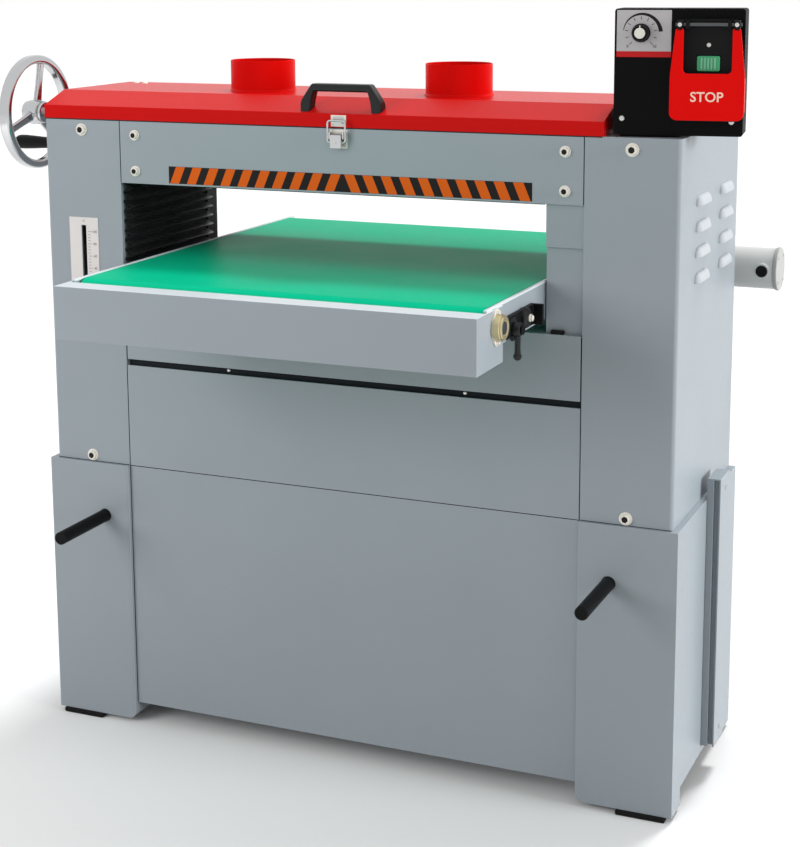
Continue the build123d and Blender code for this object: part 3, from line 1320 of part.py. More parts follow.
def stop_flap():
    top = BOX_HEIGHT - FLAP_TOP_DROP
    cut = BOX_HEIGHT - FLAP_CUT_DROP
    y0 = -FLAP_STAND
    y1 = y0 + FLAP_SHEET
    corner = FLAP_HALF - FLAP_CORNER
    outline = [
        (SWITCH_X - corner, FLAP_LOW),
        (SWITCH_X + corner, FLAP_LOW),
        (SWITCH_X + FLAP_HALF, FLAP_LOW + FLAP_CORNER_RISE),
        (SWITCH_X + FLAP_HALF, cut),
        (SWITCH_X + FLAP_TOP_HALF, top),
        (SWITCH_X - FLAP_TOP_HALF, top),
        (SWITCH_X - FLAP_HALF, cut),
        (SWITCH_X - FLAP_HALF, FLAP_LOW + FLAP_CORNER_RISE),
    ]
    body = prism_y(outline, y0, y1)
    body -= slab(SWITCH_X - FLAP_CUT_HALF, SWITCH_X + FLAP_CUT_HALF, y0 - CUT, y1 + CUT, cut, top + CUT)
    near = FLAP_CUT_HALF + EAR_GAP
    for side in (-1, 1):
        x0, x1 = span(side, near, near + EAR_WIDTH)
        x0, x1 = SWITCH_X + x0, SWITCH_X + x1
        body += slab(x0, x1, y0, -ROD_STAND + EAR_BACK, ROD_Z - LUG_ROUND, ROD_Z + LUG_ROUND)
        body -= rod_x(x0 - CUT, x1 + CUT, -ROD_STAND, ROD_Z, ROD_RADIUS + RUNNING_FIT)
    return BOX_PLACE * body


def speed_knob():
    body = rod_y(KNOB_X, -KNOB_GAP - KNOB_LENGTH, -KNOB_GAP, KNOB_Z, KNOB_RADIUS)
    body = fillet(body.edges().filter_by(GeomType.CIRCLE).sort_by(Axis.Y)[0], KNOB_ROUND)
    spindle = rod_y(KNOB_X, -KNOB_GAP - KNOB_ROUND, BOX_WALL + KNOB_TAIL, KNOB_Z, KNOB_SPINDLE)
    return BOX_PLACE * (body + spindle)


NODES = {
    "left_column": left_column(),
    "right_column": right_column(),
    "left_cabinet": left_cabinet(),
    "right_cabinet": right_cabinet(),
    "feet": feet(),
    "lower_front_panel": lower_front_panel(),
    "upper_front_panel": upper_front_panel(),
    "rear_panel": rear_panel(),
    "base_shelf": base_shelf(),
    "side_cover": side_cover(),
    "frame_bolts": frame_bolts(),
    "head_beams": head_beams(),
    "head_plates": head_plates(),
    "drum_bearings": drum_bearings(),
    "front_drum": drum(FRONT_DRUM_Y, PULLEY_X),
    "rear_drum": drum(REAR_DRUM_Y, SECOND_PULLEY_X),
    "front_hold_roller": hold_down_roller(PRESS_SETBACK),
    "rear_hold_roller": hold_down_roller(PRESS_REAR_Y),
    "main_motor": main_motor(),
    "motor_pulley": motor_pulley(),
    "drive_belts": drive_belts(),
    "table_frame": table_frame(),
    "apron": apron(),
    "conveyor_belt": conveyor_belt(),
    "band_panel": band_panel(),
    "roller_bearings": roller_bearings(),
    "front_roller": feed_roller(FRONT_ROLLER_Y, APRON_OUT, SHAFT_END),
    "rear_roller": feed_roller(REAR_ROLLER_Y, RAIL_OUT, GEARBOX_SHAFT),
    "takeup_brackets": takeup_brackets(),
    "clamp_lever": clamp_lever(),
    "gear_motor": gear_motor(),
    "scale_plate": scale_plate(),
    "bellows": bellows(),
    "lift_bushes": lift_bushes(),
    "lift_chain": lift_chain(),
    "front_left_screw": lift_screw(-1, FRONT_SCREW_Y, True),
    "front_right_screw": lift_screw(1, FRONT_SCREW_Y, False),
    "rear_left_screw": lift_screw(-1, REAR_SCREW_Y, False),
    "rear_right_screw": lift_screw(1, REAR_SCREW_Y, False),
    "handwheel": handwheel(),
    "crank_grip": crank_grip(),
    "hood": hood(),
    "dust_ports": dust_ports(),
    "hood_handle": hood_handle(),
    "hood_hinges": hood_hinges(),
    "hinge_bases": hinge_bases(),
    "latch_base": latch_base(),
    "latch_lever": latch_lever(),
    "latch_loop": latch_loop(),
    "latch_keeper": latch_keeper(),
    "left_bar": lifting_bar(-1),
    "right_bar": lifting_bar(1),
    "control_box": control_box(),
    "switch_base": switch_base(),
    "start_button": start_button(),
    "stop_button": stop_button(),
    "flap_rod": flap_rod(),
    "stop_flap": stop_flap(),
    "speed_knob": speed_knob(),
}

# The finished pieces stand with the middle of the whole machine's footprint at the origin, on the floor.
whole = group(*NODES.values()).bounding_box()
HOME = Pos(-(whole.min.X + whole.max.X) / 2, -(whole.min.Y + whole.max.Y) / 2, 0)

os.makedirs("parts", exist_ok=True)
for name, piece in NODES.items():
    export_step(HOME * group(piece), f"parts/{name}.step")
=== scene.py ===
import json
import math

import bmesh
import bpy
from bpy.props import FloatProperty, FloatVectorProperty, IntProperty, PointerProperty
from mathutils import Euler, Matrix, Vector
from mathutils.bvhtree import BVHTree


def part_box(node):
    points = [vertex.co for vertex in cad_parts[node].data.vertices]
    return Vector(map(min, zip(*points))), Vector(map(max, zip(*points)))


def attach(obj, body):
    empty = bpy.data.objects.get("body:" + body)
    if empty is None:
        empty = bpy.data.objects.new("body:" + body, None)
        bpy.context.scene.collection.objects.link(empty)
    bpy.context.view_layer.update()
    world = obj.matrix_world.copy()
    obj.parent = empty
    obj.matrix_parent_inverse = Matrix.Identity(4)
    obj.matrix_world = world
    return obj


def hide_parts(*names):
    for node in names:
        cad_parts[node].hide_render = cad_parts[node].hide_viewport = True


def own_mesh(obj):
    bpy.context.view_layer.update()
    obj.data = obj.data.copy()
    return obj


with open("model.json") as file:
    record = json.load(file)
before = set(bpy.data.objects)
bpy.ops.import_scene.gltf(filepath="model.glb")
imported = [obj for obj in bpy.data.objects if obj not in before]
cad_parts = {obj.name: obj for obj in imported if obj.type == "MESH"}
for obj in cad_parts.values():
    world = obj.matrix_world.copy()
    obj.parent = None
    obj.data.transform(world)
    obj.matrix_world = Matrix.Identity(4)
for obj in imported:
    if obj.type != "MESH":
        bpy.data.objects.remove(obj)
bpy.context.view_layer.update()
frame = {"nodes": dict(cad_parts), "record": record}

bl_info = {
    "name": "Drum Sander",
    "version": (1, 0, 0),
    "blender": (4, 5, 0),
    "location": "3D View > Sidebar > Sander",
    "description": "Paint, metal, rubber and printed details for a two-drum sander with a feed table",
    "category": "Object",
}

NODES = frame["nodes"]
RECORD = frame["record"]
BODY_OF = {node: body for body, nodes in RECORD["behaviour"]["bodies"].items() for node in nodes}
SLOT_OF = {part["node"]: part["material_slot"] for part in RECORD["subparts"]}
MM = 0.001

# Lengths below are in millimetres from the middle of the bay, the columns' front and the floor.
panel_low, panel_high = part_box("upper_front_panel")
HOME = Vector(((panel_low.x + panel_high.x) / 2, panel_low.y, 0.0))
TO_ROW = Matrix.Translation(HOME) @ Matrix.Diagonal((MM, MM, MM, 1.0))

# The control box stands at an angle, and its pieces are measured from its lower front corner.
BOX_CORNER = (424.0, 7.5, 1019.0)
BOX_YAW = math.radians(8.0)
TO_BOX = TO_ROW @ Matrix.Translation(BOX_CORNER) @ Matrix.Rotation(BOX_YAW, 4, "Z")
DIAL_X, DIAL_Z = 37.0, 142.5
SWITCH_X = 132.0

# Places that several pieces share
FRONT_ROLLER_Y = -211.0
REAR_ROLLER_Y = 460.0
LIFT_X = 425.0
FRONT_LIFT_Y = 72.0
REAR_LIFT_Y = 240.0

ORIGIN = (0, 0, 0)
ALONG_X = (1, 0, 0)
ALONG_Y = (0, 1, 0)
ALONG_Z = (0, 0, 1)
QUARTER = math.radians(90.0)
FACE_UP = (0.0, 0.0, 0.0)
FACE_FRONT = (QUARTER, 0.0, 0.0)
FACE_BACK = (-QUARTER, 0.0, 0.0)


def facing(side):
    """The turn of a fastener whose head faces left or right."""
    return 0.0, side * QUARTER, 0.0


def both_sides(near, far, centre=0.0):
    """The spans from near to far on the left and on the right of a centre."""
    return (centre - far, centre - near), (centre + near, centre + far)


def extent(node):
    """Lowest and highest corner of a node."""
    low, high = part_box(node)
    return (low - HOME) / MM, (high - HOME) / MM


def middle(node):
    """Middle of a node's box."""
    return [(low + high) / 2 for low, high in zip(*extent(node))]


# Sizes and colours that a user would change

def colour(label, text, value):
    return FloatVectorProperty(
        name=label, description=text, size=3, subtype="COLOR", min=0, max=1, default=value)


def number(label, text, value, low, high, unit="NONE"):
    return FloatProperty(name=label, description=text, default=value, min=low, max=high, unit=unit)


class SanderColours(bpy.types.PropertyGroup):
    """Colours of the sander's finishes."""

    grey_paint: colour("Grey paint", "Satin paint of the stand and head", (0.318, 0.36, 0.392))
    red_paint: colour("Red paint", "Gloss paint of the hood", (0.60, 0.0035, 0.003))
    port_red: colour("Port red", "Dust ports on the hood", (0.62, 0.003, 0.002))
    # This pale colour paints a highlight on the apron's top faces, and also colours the pale edging along the
    # belt.
    pale_paint: colour("Pale lip", "Top of the apron", (0.66, 0.72, 0.755))
    cream_paint: colour("Motor paint", "Feed motor", (0.72, 0.735, 0.72))
    black_paint: colour("Black paint", "Control box", (0.004, 0.004, 0.0045))
    feed_belt: colour("Feed belt", "Green conveyor belt", (0.002, 0.48, 0.255))
    bellows: colour("Bellows", "Coated cloth of the bellows", (0.02, 0.02, 0.022))
    flap_red: colour("Stop flap", "Red moulded plastic", (0.78, 0.003, 0.002))
    start_green: colour("Start button", "Green moulded plastic", (0.06, 0.36, 0.16))
    hazard: colour("Hazard orange", "Stripes along the beam", (0.72, 0.115, 0.008))


class SanderSizes(bpy.types.PropertyGroup):
    """Sizes of the details that the solids leave out."""

    sheet_ease: number("Sheet edge", "Rounding of folded sheet edges in millimetres", 0.9, 0.1, 3)
    hood_ease: number("Hood edge", "Rounding of the hood's folds in millimetres", 2.4, 0.2, 6)
    pleats: IntProperty(name="Pleats", description="Folds of each bellows", default=11, min=3, max=20)
    stripe_pitch: number("Stripe pitch", "Distance between hazard stripes in millimetres", 29.9, 10, 60)
    thread_pitch: number("Thread pitch", "Lift of the table screws per turn in millimetres", 4.0, 1, 10)
    tick_step: number("Scale step", "Distance between marks of the height scale in millimetres", 5.0, 1, 20)


class SanderStage(bpy.types.PropertyGroup):
    """Camera and light."""

    lens: number("Lens", "Focal length in millimetres on a 36 mm sensor", 74.63, 20, 200)
    shift: number("Shift", "Vertical shift of the lens", -0.17, -0.5, 0.5)
    sky: number("Sky", "Strength of the even light", 0.55, 0, 2)
    key: number("Key", "Strength of the soft key lamp on the right", 2.7, 0, 10)
    back: number("Back", "Strength of the lamp above and behind", 1.75, 0, 10)
    fill: number("Fill", "Power of the soft lamp at the front left", 44.0, 0, 200, "POWER")


# Nodes of every kind

def feed(tree, source, socket):
    """Links a socket, or sets a plain value."""
    if isinstance(source, bpy.types.NodeSocket):
        tree.links.new(source, socket)
    else:
        socket.default_value = source


def add(tree, kind, inputs=(), **settings):
    """A node with its settings, and its inputs linked or set."""
    node = tree.nodes.new(kind)
    for key, value in settings.items():
        setattr(node, key, value)
    for key, value in dict(inputs).items():
        feed(tree, value, node.inputs[key])
    return node


def maths(tree, operation, *values):
    return add(tree, "ShaderNodeMath", enumerate(values), operation=operation).outputs[0]


def noise(tree, vector, scale, detail=2.0):
    return add(tree, "ShaderNodeTexNoise", {"Vector": vector, "Scale": scale, "Detail": detail}).outputs[0]


def cells(tree, vector, scale):
    return add(tree, "ShaderNodeTexVoronoi", {"Vector": vector, "Scale": scale}).outputs


def place_of(tree):
    return add(tree, "ShaderNodeTexCoord").outputs["Object"]


def mixed(tree, share, first, second):
    """A colour between two others."""
    return add(tree, "ShaderNodeMix", {"Factor": share, 6: first, 7: second}, data_type="RGBA").outputs[2]


def shaded(tree, tint, spread, value):
    """A colour made lighter and darker by a value round one half."""
    swing = maths(tree, "MULTIPLY", spread, 2.0)
    start = maths(tree, "SUBTRACT", 1.0, spread)
    level = maths(tree, "MULTIPLY_ADD", value, swing, start)
    return add(tree, "ShaderNodeVectorMath", {0: tint, "Scale": level}, operation="SCALE").outputs[0]


def roughened(tree, rough, value, amount):
    return maths(tree, "MULTIPLY_ADD", maths(tree, "SUBTRACT", value, 0.5), amount, rough)


def seen(tree, *rays):
    """One where a ray of one of these kinds looks, and nought elsewhere."""
    path = add(tree, "ShaderNodeLightPath").outputs
    found = path[rays[0]]
    for ray in rays[1:]:
        found = maths(tree, "MAXIMUM", found, path[ray])
    return found


# Shader groups

GREY = (0.5, 0.5, 0.5, 1.0)


def shader_group(name, inputs):
    """A shader group with these inputs that gives a colour, a roughness and a height."""
    tree = bpy.data.node_groups.new(name, "ShaderNodeTree")
    for label, value in inputs.items():
        kind = "NodeSocketFloat"
        if isinstance(value, tuple):
            kind = "NodeSocketColor" if len(value) == 4 else "NodeSocketVector"
        tree.interface.new_socket(name=label, in_out="INPUT", socket_type=kind).default_value = value
    for label, kind in (("Colour", "Color"), ("Roughness", "Float"), ("Height", "Float")):
        tree.interface.new_socket(name=label, in_out="OUTPUT", socket_type="NodeSocket" + kind)
    return tree, add(tree, "NodeGroupInput").outputs


def give(tree, tint, roughness, height):
    """Sends what a shader group has made to its outputs."""
    add(tree, "NodeGroupOutput", {"Colour": tint, "Roughness": roughness, "Height": height})


def sheet_paint_group():
    """Sprayed paint: soft clouds, orange peel and a little rubbing along the edges, whose lighter colour is
    partly a painted highlight.
    """
    tree, given = shader_group("Sheet Paint", {
        "Colour": GREY, "Rough": 0.4, "Tone": 0.05, "Peel": 420.0, "Wear": 0.3, "Rubbed Lit Colour": GREY})
    place = place_of(tree)
    cloud = noise(tree, place, 5.0, 3.0)
    peel = noise(tree, place, given["Peel"])
    speck = noise(tree, place, 140.0, 5.0)
    edge = add(tree, "ShaderNodeAttribute", attribute_name="edge").outputs["Fac"]
    # A lighter colour, speckled along the rounded edges: rubbing, and in part a painted highlight.
    rubbed_lit_edges = maths(tree, "MULTIPLY", edge, maths(tree, "MULTIPLY", speck, given["Wear"]))
    tint = shaded(tree, given["Colour"], given["Tone"], cloud)
    rough = roughened(tree, roughened(tree, given["Rough"], peel, 0.10), speck, 0.10)
    give(tree, mixed(tree, rubbed_lit_edges, tint, given["Rubbed Lit Colour"]), rough, peel)


def brushed_metal_group():
    """Metal with fine drawn lines along one direction."""
    tree, given = shader_group("Brushed Metal", {
        "Colour": GREY, "Rough": 0.3, "Tone": 0.06, "Stretch": (60.0, 900.0, 900.0)})
    drawn = add(tree, "ShaderNodeVectorMath", {0: place_of(tree), 1: given["Stretch"]}, operation="MULTIPLY")
    line = noise(tree, drawn.outputs[0], 1.0, 3.0)
    smear = noise(tree, place_of(tree), 35.0, 3.0)
    rough = roughened(tree, roughened(tree, given["Rough"], line, 0.16), smear, 0.16)
    give(tree, shaded(tree, given["Colour"], given["Tone"], line), rough, line)


def moulded_grain_group():
    """Plastic with the fine pebble of a mould and a faint bloom."""
    tree, given = shader_group("Moulded Grain", {"Colour": GREY, "Rough": 0.4, "Tone": 0.05, "Grain": 900.0})
    place = place_of(tree)
    pebble = cells(tree, place, given["Grain"])["Distance"]
    bloom = noise(tree, place, 28.0, 3.0)
    rough = roughened(tree, given["Rough"], bloom, 0.16)
    give(tree, shaded(tree, given["Colour"], given["Tone"], bloom), rough, pebble)


def woven_group():
    """A close weave whose threads cross along and over the piece."""
    tree, given = shader_group("Close Weave", {"Colour": GREY, "Rough": 0.6, "Tone": 0.08, "Threads": 700.0})
    place = place_of(tree)
    split = add(tree, "ShaderNodeSeparateXYZ", {0: place}).outputs
    turn = maths(tree, "MULTIPLY", given["Threads"], 2.0 * math.pi)
    over = maths(tree, "SINE", maths(tree, "MULTIPLY", split["X"], turn))
    reach = maths(tree, "ADD", split["Y"], split["Z"])
    along = maths(tree, "SINE", maths(tree, "MULTIPLY", reach, turn))
    crossed = maths(tree, "MULTIPLY_ADD", maths(tree, "MULTIPLY", over, along), 0.5, 0.5)
    cloud = noise(tree, place, 9.0, 4.0)
    blend = maths(tree, "MULTIPLY_ADD", crossed, 0.35, maths(tree, "MULTIPLY", cloud, 0.65))
    rough = roughened(tree, given["Rough"], blend, 0.2)
    give(tree, shaded(tree, given["Colour"], given["Tone"], blend), rough, crossed)


def grit_group():
    """Loose or bonded grains, each a little different."""
    tree, given = shader_group("Bonded Grit", {"Colour": GREY, "Rough": 0.8, "Tone": 0.3, "Grains": 1200.0})
    grain = cells(tree, place_of(tree), given["Grains"])
    bright = add(tree, "ShaderNodeRGBToBW", {0: grain["Color"]}).outputs[0]
    rough = roughened(tree, given["Rough"], bright, 0.2)
    give(tree, shaded(tree, given["Colour"], given["Tone"], bright), rough, grain["Distance"])


GROUP_MAKERS = {
    "Sheet Paint": sheet_paint_group,
    "Brushed Metal": brushed_metal_group,
    "Moulded Grain": moulded_grain_group,
    "Close Weave": woven_group,
    "Bonded Grit": grit_group,
}


# Finishes: shader group, colour or the name of a user's colour, the group's own values, bump, metal, specular

def paint(tint, rough, rubbed_lit, bump=0.05, specular=0.3, **values):
    return "Sheet Paint", tint, dict(values, rough=rough, rubbed_lit_colour=(*rubbed_lit, 1.0)), bump, 0.0, specular


def plastic(tint, rough, bump=0.02, specular=0.2, **values):
    return "Moulded Grain", tint, dict(values, rough=rough), bump, 0.0, specular


def metal(tint, rough, stretch, bump=0.03, metallic=1.0, **values):
    return "Brushed Metal", tint, dict(values, rough=rough, stretch=stretch), bump, metallic, 0.5


def grit(tint, bump, specular, metallic=0.0, **values):
    return "Bonded Grit", tint, values, bump, metallic, specular


def weave(tint, rough, bump, specular, **values):
    return "Close Weave", tint, dict(values, rough=rough), bump, 0.0, specular


FINISHES = {
    "grey_paint": paint("grey_paint", 0.38, (0.50, 0.53, 0.56), wear=0.5),
    # The louvres' paint is the grey paint made lighter: a painted highlight of the light falling on them.
    "louvre_highlight_paint": paint((0.46, 0.49, 0.52), 0.34, (0.66, 0.68, 0.70)),
    "red_paint": paint("red_paint", 0.34, (0.64, 0.02, 0.018), specular=0.12, tone=0.04),
    "port_paint": paint("port_red", 0.38, (0.66, 0.02, 0.018), specular=0.05, tone=0.03),
    # A pale paint that serves as a painted highlight on the apron's top.
    "pale_paint": paint("pale_paint", 0.34, (0.9, 0.92, 0.93), bump=0.04, tone=0.03),
    "cream_paint": paint("cream_paint", 0.40, (0.78, 0.79, 0.78), bump=0.08),
    "cap_paint": paint((0.46, 0.47, 0.455), 0.40, (0.56, 0.57, 0.55), bump=0.08, specular=0.2),
    "black_paint": paint("black_paint", 0.5, (0.03, 0.03, 0.033), bump=0.14, specular=0.05, peel=900.0),
    "black_metal": paint((0.0055, 0.0055, 0.006), 0.42, (0.05, 0.05, 0.053), bump=0.10, specular=0.08,
                         peel=700.0),
    "black_plastic": plastic((0.006, 0.006, 0.0065), 0.40, bump=0.10, specular=0.10),
    "gloss_black": plastic((0.008, 0.009, 0.0095), 0.30, bump=0.06, specular=0.28),
    "switch_plastic": plastic((0.005, 0.005, 0.0055), 0.5, bump=0.10, specular=0.12, grain=1300.0),
    "flap_plastic": plastic("flap_red", 0.34, bump=0.03, specular=0.08, grain=600.0),
    "start_plastic": plastic("start_green", 0.4, bump=0.05, specular=0.25, tone=0.12),
    "start_ribs": plastic((0.20, 0.50, 0.33), 0.4, bump=0.05, specular=0.25, tone=0.08),
    "white_print": plastic((0.84, 0.81, 0.75), 0.5),
    "stop_print": plastic((0.95, 0.68, 0.54), 0.5),
    "black_print": plastic((0.014, 0.012, 0.012), 0.5, specular=0.12),
    "seam_shadow": plastic((0.022, 0.026, 0.03), 0.7, specular=0.05),
    "red_print": plastic((0.55, 0.012, 0.014), 0.4),
    "hazard_orange": plastic("hazard", 0.45, specular=0.15, grain=300.0),
    "scale_print": plastic((0.30, 0.20, 0.20), 0.5),
    "scale_white": plastic((0.74, 0.71, 0.69), 0.42, specular=0.3, tone=0.04, grain=500.0),
    "dial_silver": metal((0.44, 0.425, 0.43), 0.42, (50.0, 700.0, 1400.0), bump=0.02, metallic=0.3),
    "steel": metal((0.50, 0.51, 0.52), 0.28, (1500.0, 120.0, 120.0)),
    "dark_steel": metal((0.085, 0.09, 0.095), 0.38, (1500.0, 120.0, 120.0), metallic=0.8),
    "chrome": metal((0.52, 0.525, 0.535), 0.14, (300.0, 300.0, 300.0), bump=0.01, tone=0.04),
    "zinc": metal((0.56, 0.555, 0.53), 0.36, (240.0, 240.0, 240.0), metallic=0.85, tone=0.08),
    "pale_zinc": metal((0.80, 0.77, 0.70), 0.42, (240.0, 240.0, 240.0), metallic=0.25, tone=0.06),
    "yellow_zinc": metal((0.60, 0.52, 0.31), 0.34, (90.0, 90.0, 90.0), metallic=0.8, tone=0.18),
    "aluminium": metal((0.60, 0.61, 0.62), 0.34, (60.0, 1200.0, 1200.0)),
    "cast_iron": grit((0.12, 0.127, 0.132), 0.18, 0.3, 0.2, rough=0.6, tone=0.18, grains=420.0),
    "abrasive": grit((0.20, 0.075, 0.032), 0.6, 0.2, grains=1500.0),
    "black_rubber": grit((0.010, 0.010, 0.010), 0.12, 0.12, rough=0.72, grains=700.0),
    "feed_belt": weave("feed_belt", 0.38, 0.12, 0.02, tone=0.10),
    "bellows_cloth": weave("bellows", 0.30, 0.10, 0.8, threads=520.0),
}


def finish(name):
    """The material of that name, made the first time it is asked for."""
    title = "Sander " + name.replace("_", " ")
    if title in bpy.data.materials:
        return bpy.data.materials[title]
    group, tint, values, bump, metallic, specular = FINISHES[name]
    if isinstance(tint, str):
        tint = getattr(bpy.context.scene.sander_colours, tint)
    if group not in bpy.data.node_groups:
        GROUP_MAKERS[group]()
    inputs = {"Colour": (*tint, 1.0)}
    for key, value in values.items():
        inputs[key.replace("_", " ").title()] = value
    material = bpy.data.materials.new(title)
    material.use_nodes = True
    tree = material.node_tree
    tree.nodes.clear()
    texture = add(tree, "ShaderNodeGroup", inputs, node_tree=bpy.data.node_groups[group]).outputs
    relief = add(tree, "ShaderNodeBump", {"Strength": bump, "Distance": MM, "Height": texture["Height"]})
    shader = add(tree, "ShaderNodeBsdfPrincipled", {
        "Base Color": texture["Colour"], "Roughness": texture["Roughness"], "Normal": relief.outputs[0],
        "Metallic": metallic, "Specular IOR Level": specular})
    add(tree, "ShaderNodeOutputMaterial", {"Surface": shader.outputs[0]})
    return material


# Objects and plain meshes

def placed(name, data):
    """A new object in the scene."""
    item = bpy.data.objects.new(name, data)
    bpy.context.scene.collection.objects.link(item)
    return item


def plain_mesh(holder):
    """The mesh that an object comes to with its modifiers; the object itself goes."""
    bpy.context.view_layer.update()
    mesh = bpy.data.meshes.new_from_object(holder.evaluated_get(bpy.context.evaluated_depsgraph_get()))
    bpy.data.objects.remove(holder)
    return mesh


def as_mesh(name, bm):
    mesh = bpy.data.meshes.new(name)
    bm.to_mesh(mesh)
    bm.free()
    return mesh


def moved(bm, spot):
    bm.transform(Matrix.Translation(spot))
    return bm


def joined(parts):
    """Several meshes in one."""
    whole = bmesh.new()
    for part in parts:
        mesh = as_mesh("part", part)
        whole.from_mesh(mesh)
        bpy.data.meshes.remove(mesh)
    return whole


# Shapes in millimetres

def loft(bm, rings, closed=False):
    """Faces between rings of as many points; open ends get a cap."""
    rows = [[bm.verts.new(point) for point in ring] for ring in rings]
    pairs = list(zip(rows, rows[1:]))
    faces = []
    if closed:
        pairs.append((rows[-1], rows[0]))
    for near, far in pairs:
        for i in range(len(near)):
            j = (i + 1) % len(near)
            faces.append(bm.faces.new((near[i], near[j], far[j], far[i])))
    if not closed:
        faces.append(bm.faces.new(rows[0]))
        faces.append(bm.faces.new(rows[-1]))
    bmesh.ops.recalc_face_normals(bm, faces=faces)


def turned(bm, profile, centre=ORIGIN, axis=ALONG_Z, steps=48, closed=False):
    """A lathe shape from points of distance along the axis and radius."""
    along = Vector(axis).normalized()
    across = along.orthogonal().normalized()
    third = along.cross(across)
    rings = []
    for reach, radius in profile:
        ring = []
        for i in range(steps):
            angle = 2.0 * math.pi * i / steps
            spoke = across * math.cos(angle) + third * math.sin(angle)
            ring.append(Vector(centre) + along * reach + spoke * radius)
        rings.append(ring)
    loft(bm, rings, closed)


def swept(bm, path, section, scales=None, closed=False, up=ALONG_Y):
    """A section of points carried along a path."""
    rings = []
    count = len(path)
    for i, spot in enumerate(path):
        if closed:
            ahead = path[(i + 1) % count] - path[i - 1]
        else:
            ahead = path[min(i + 1, count - 1)] - path[max(i - 1, 0)]
        ahead.normalize()
        side = ahead.cross(Vector(up)).normalized()
        top = side.cross(ahead)
        wide, tall = scales[i] if scales else (1.0, 1.0)
        rings.append([spot + top * (u * wide) + side * (v * tall) for u, v in section])
    loft(bm, rings, closed)


def rounded_rectangle(width, height, radius, steps=4):
    points = []
    for turn, (u, v) in enumerate(((1, 1), (-1, 1), (-1, -1), (1, -1))):
        for i in range(steps + 1):
            angle = math.radians(90.0 * turn + 90.0 * i / steps)
            x = u * (width / 2 - radius) + radius * math.cos(angle)
            y = v * (height / 2 - radius) + radius * math.sin(angle)
            points.append((x, y))
    return points


def circle(radius, steps):
    angles = [2 * math.pi * i / steps for i in range(steps)]
    return [(radius * math.cos(angle), radius * math.sin(angle)) for angle in angles]


def bent_ring(points, radius, steps=6):
    """A closed path of straight runs with its corners rounded."""
    points = [Vector(point) for point in points]
    path = []
    for i, corner in enumerate(points):
        before = points[i - 1] - corner
        after = points[(i + 1) % len(points)] - corner
        start = corner + before.normalized() * min(radius, before.length / 2.01)
        end = corner + after.normalized() * min(radius, after.length / 2.01)
        for k in range(steps + 1):
            t = k / steps
            path.append(start * (1 - t) ** 2 + corner * (2 * t * (1 - t)) + end * t ** 2)
    return path


def prism(bm, outline, axis, low, high):
    """A flat outline pulled straight along X, Y or Z."""
    def point(u, v, reach):
        if axis == "X":
            return Vector((reach, u, v))
        if axis == "Y":
            return Vector((u, reach, v))
        return Vector((u, v, reach))
    loft(bm, [[point(u, v, low) for u, v in outline], [point(u, v, high) for u, v in outline]])


def block(bm, low, high):
    outline = [(low[0], low[1]), (high[0], low[1]), (high[0], high[1]), (low[0], high[1])]
    prism(bm, outline, "Z", low[2], high[2])


def lettering(text, height, thick, weight=0.0):
    """Words as a mesh, standing upright and facing the front, centred on the origin."""
    curve = bpy.data.curves.new("words", "FONT")
    curve.body = text
    curve.align_x = "CENTER"
    curve.align_y = "CENTER"
    curve.size = height * 1.4
    curve.extrude = thick / 2
    curve.offset = weight
    curve.resolution_u = 4
    mesh = plain_mesh(placed("words", curve))
    bm = bmesh.new()
    bm.from_mesh(mesh)
    bpy.data.meshes.remove(mesh)
    bm.transform(Matrix.Rotation(QUARTER, 4, "X"))
    return bm


# Solids of the frame, in metres

def weld(bm):
    """Joins the vertices of each solid in the mesh's order, but not those of solids that touch."""
    solids, corners, ajar = [], set(), set()
    for face in bm.faces:
        corners.update(face.verts)
        for edge in face.edges:
            ajar ^= {frozenset(tuple(round(value * 1e6) for value in vert.co) for vert in edge.verts)}
        if not ajar:
            solids.append(corners)
            corners = set()
    solids.append(corners)
    for solid in solids:
        in_order = sorted(solid, key=lambda vert: vert.index)
        bmesh.ops.remove_doubles(bm, verts=in_order, dist=1e-6)


def drop_solids(bm, picked):
    """Takes out each solid that has a vertex in a picked place."""
    queue = [vert for vert in bm.verts if picked((vert.co - HOME) / MM)]
    gone = set(queue)
    while queue:
        vert = queue.pop()
        for edge in vert.link_edges:
            other = edge.other_vert(vert)
            if other not in gone:
                gone.add(other)
                queue.append(other)
    bmesh.ops.delete(bm, geom=[vert for vert in bm.verts if vert in gone], context="VERTS")


def covered_edges(bm):
    """Edges of faces that lie against another solid."""
    inset, touching = 0.0005, 0.00002
    bm.normal_update()
    tree = BVHTree.FromBMesh(bm)
    found = set()
    for edge in bm.edges:
        centre = (edge.verts[0].co + edge.verts[1].co) / 2
        for loop in edge.link_loops:
            normal = loop.face.normal
            inward = normal.cross(loop.link_loop_next.vert.co - loop.vert.co).normalized()
            near = tree.find_nearest_range(centre + inward * inset, touching)
            if any(normal.dot(other[1]) < -0.99 for other in near):
                found.add(edge)
    return found


def ease(bm, width, segments=2, limit=30.0, kept=()):
    """Rounds the sharp edges and marks the new faces for the paint's rubbed edges, which are partly a painted
    highlight.
    """
    bm.normal_update()
    mark = bm.loops.layers.float.get("edge") or bm.loops.layers.float.new("edge")
    sharp = [edge for edge in bm.edges if edge not in kept
             and len(edge.link_faces) == 2 and edge.calc_face_angle(0.0) > math.radians(limit)]
    made = bmesh.ops.bevel(bm, geom=sharp, offset=width, offset_type="OFFSET", segments=segments, profile=0.5,
                           affect="EDGES", clamp_overlap=True)
    for face in made["faces"]:
        for loop in face.loops:
            loop[mark] = 1.0


# Pieces

def even_normals(name, mesh):
    """The same mesh with normals that keep its large faces flat."""
    holder = placed("holder", mesh)
    weighted = holder.modifiers.new("Flat Faces", "WEIGHTED_NORMAL")
    weighted.keep_sharp = True
    weighted.weight = 100
    result = plain_mesh(holder)
    bpy.data.meshes.remove(mesh)
    result.name = name
    return result


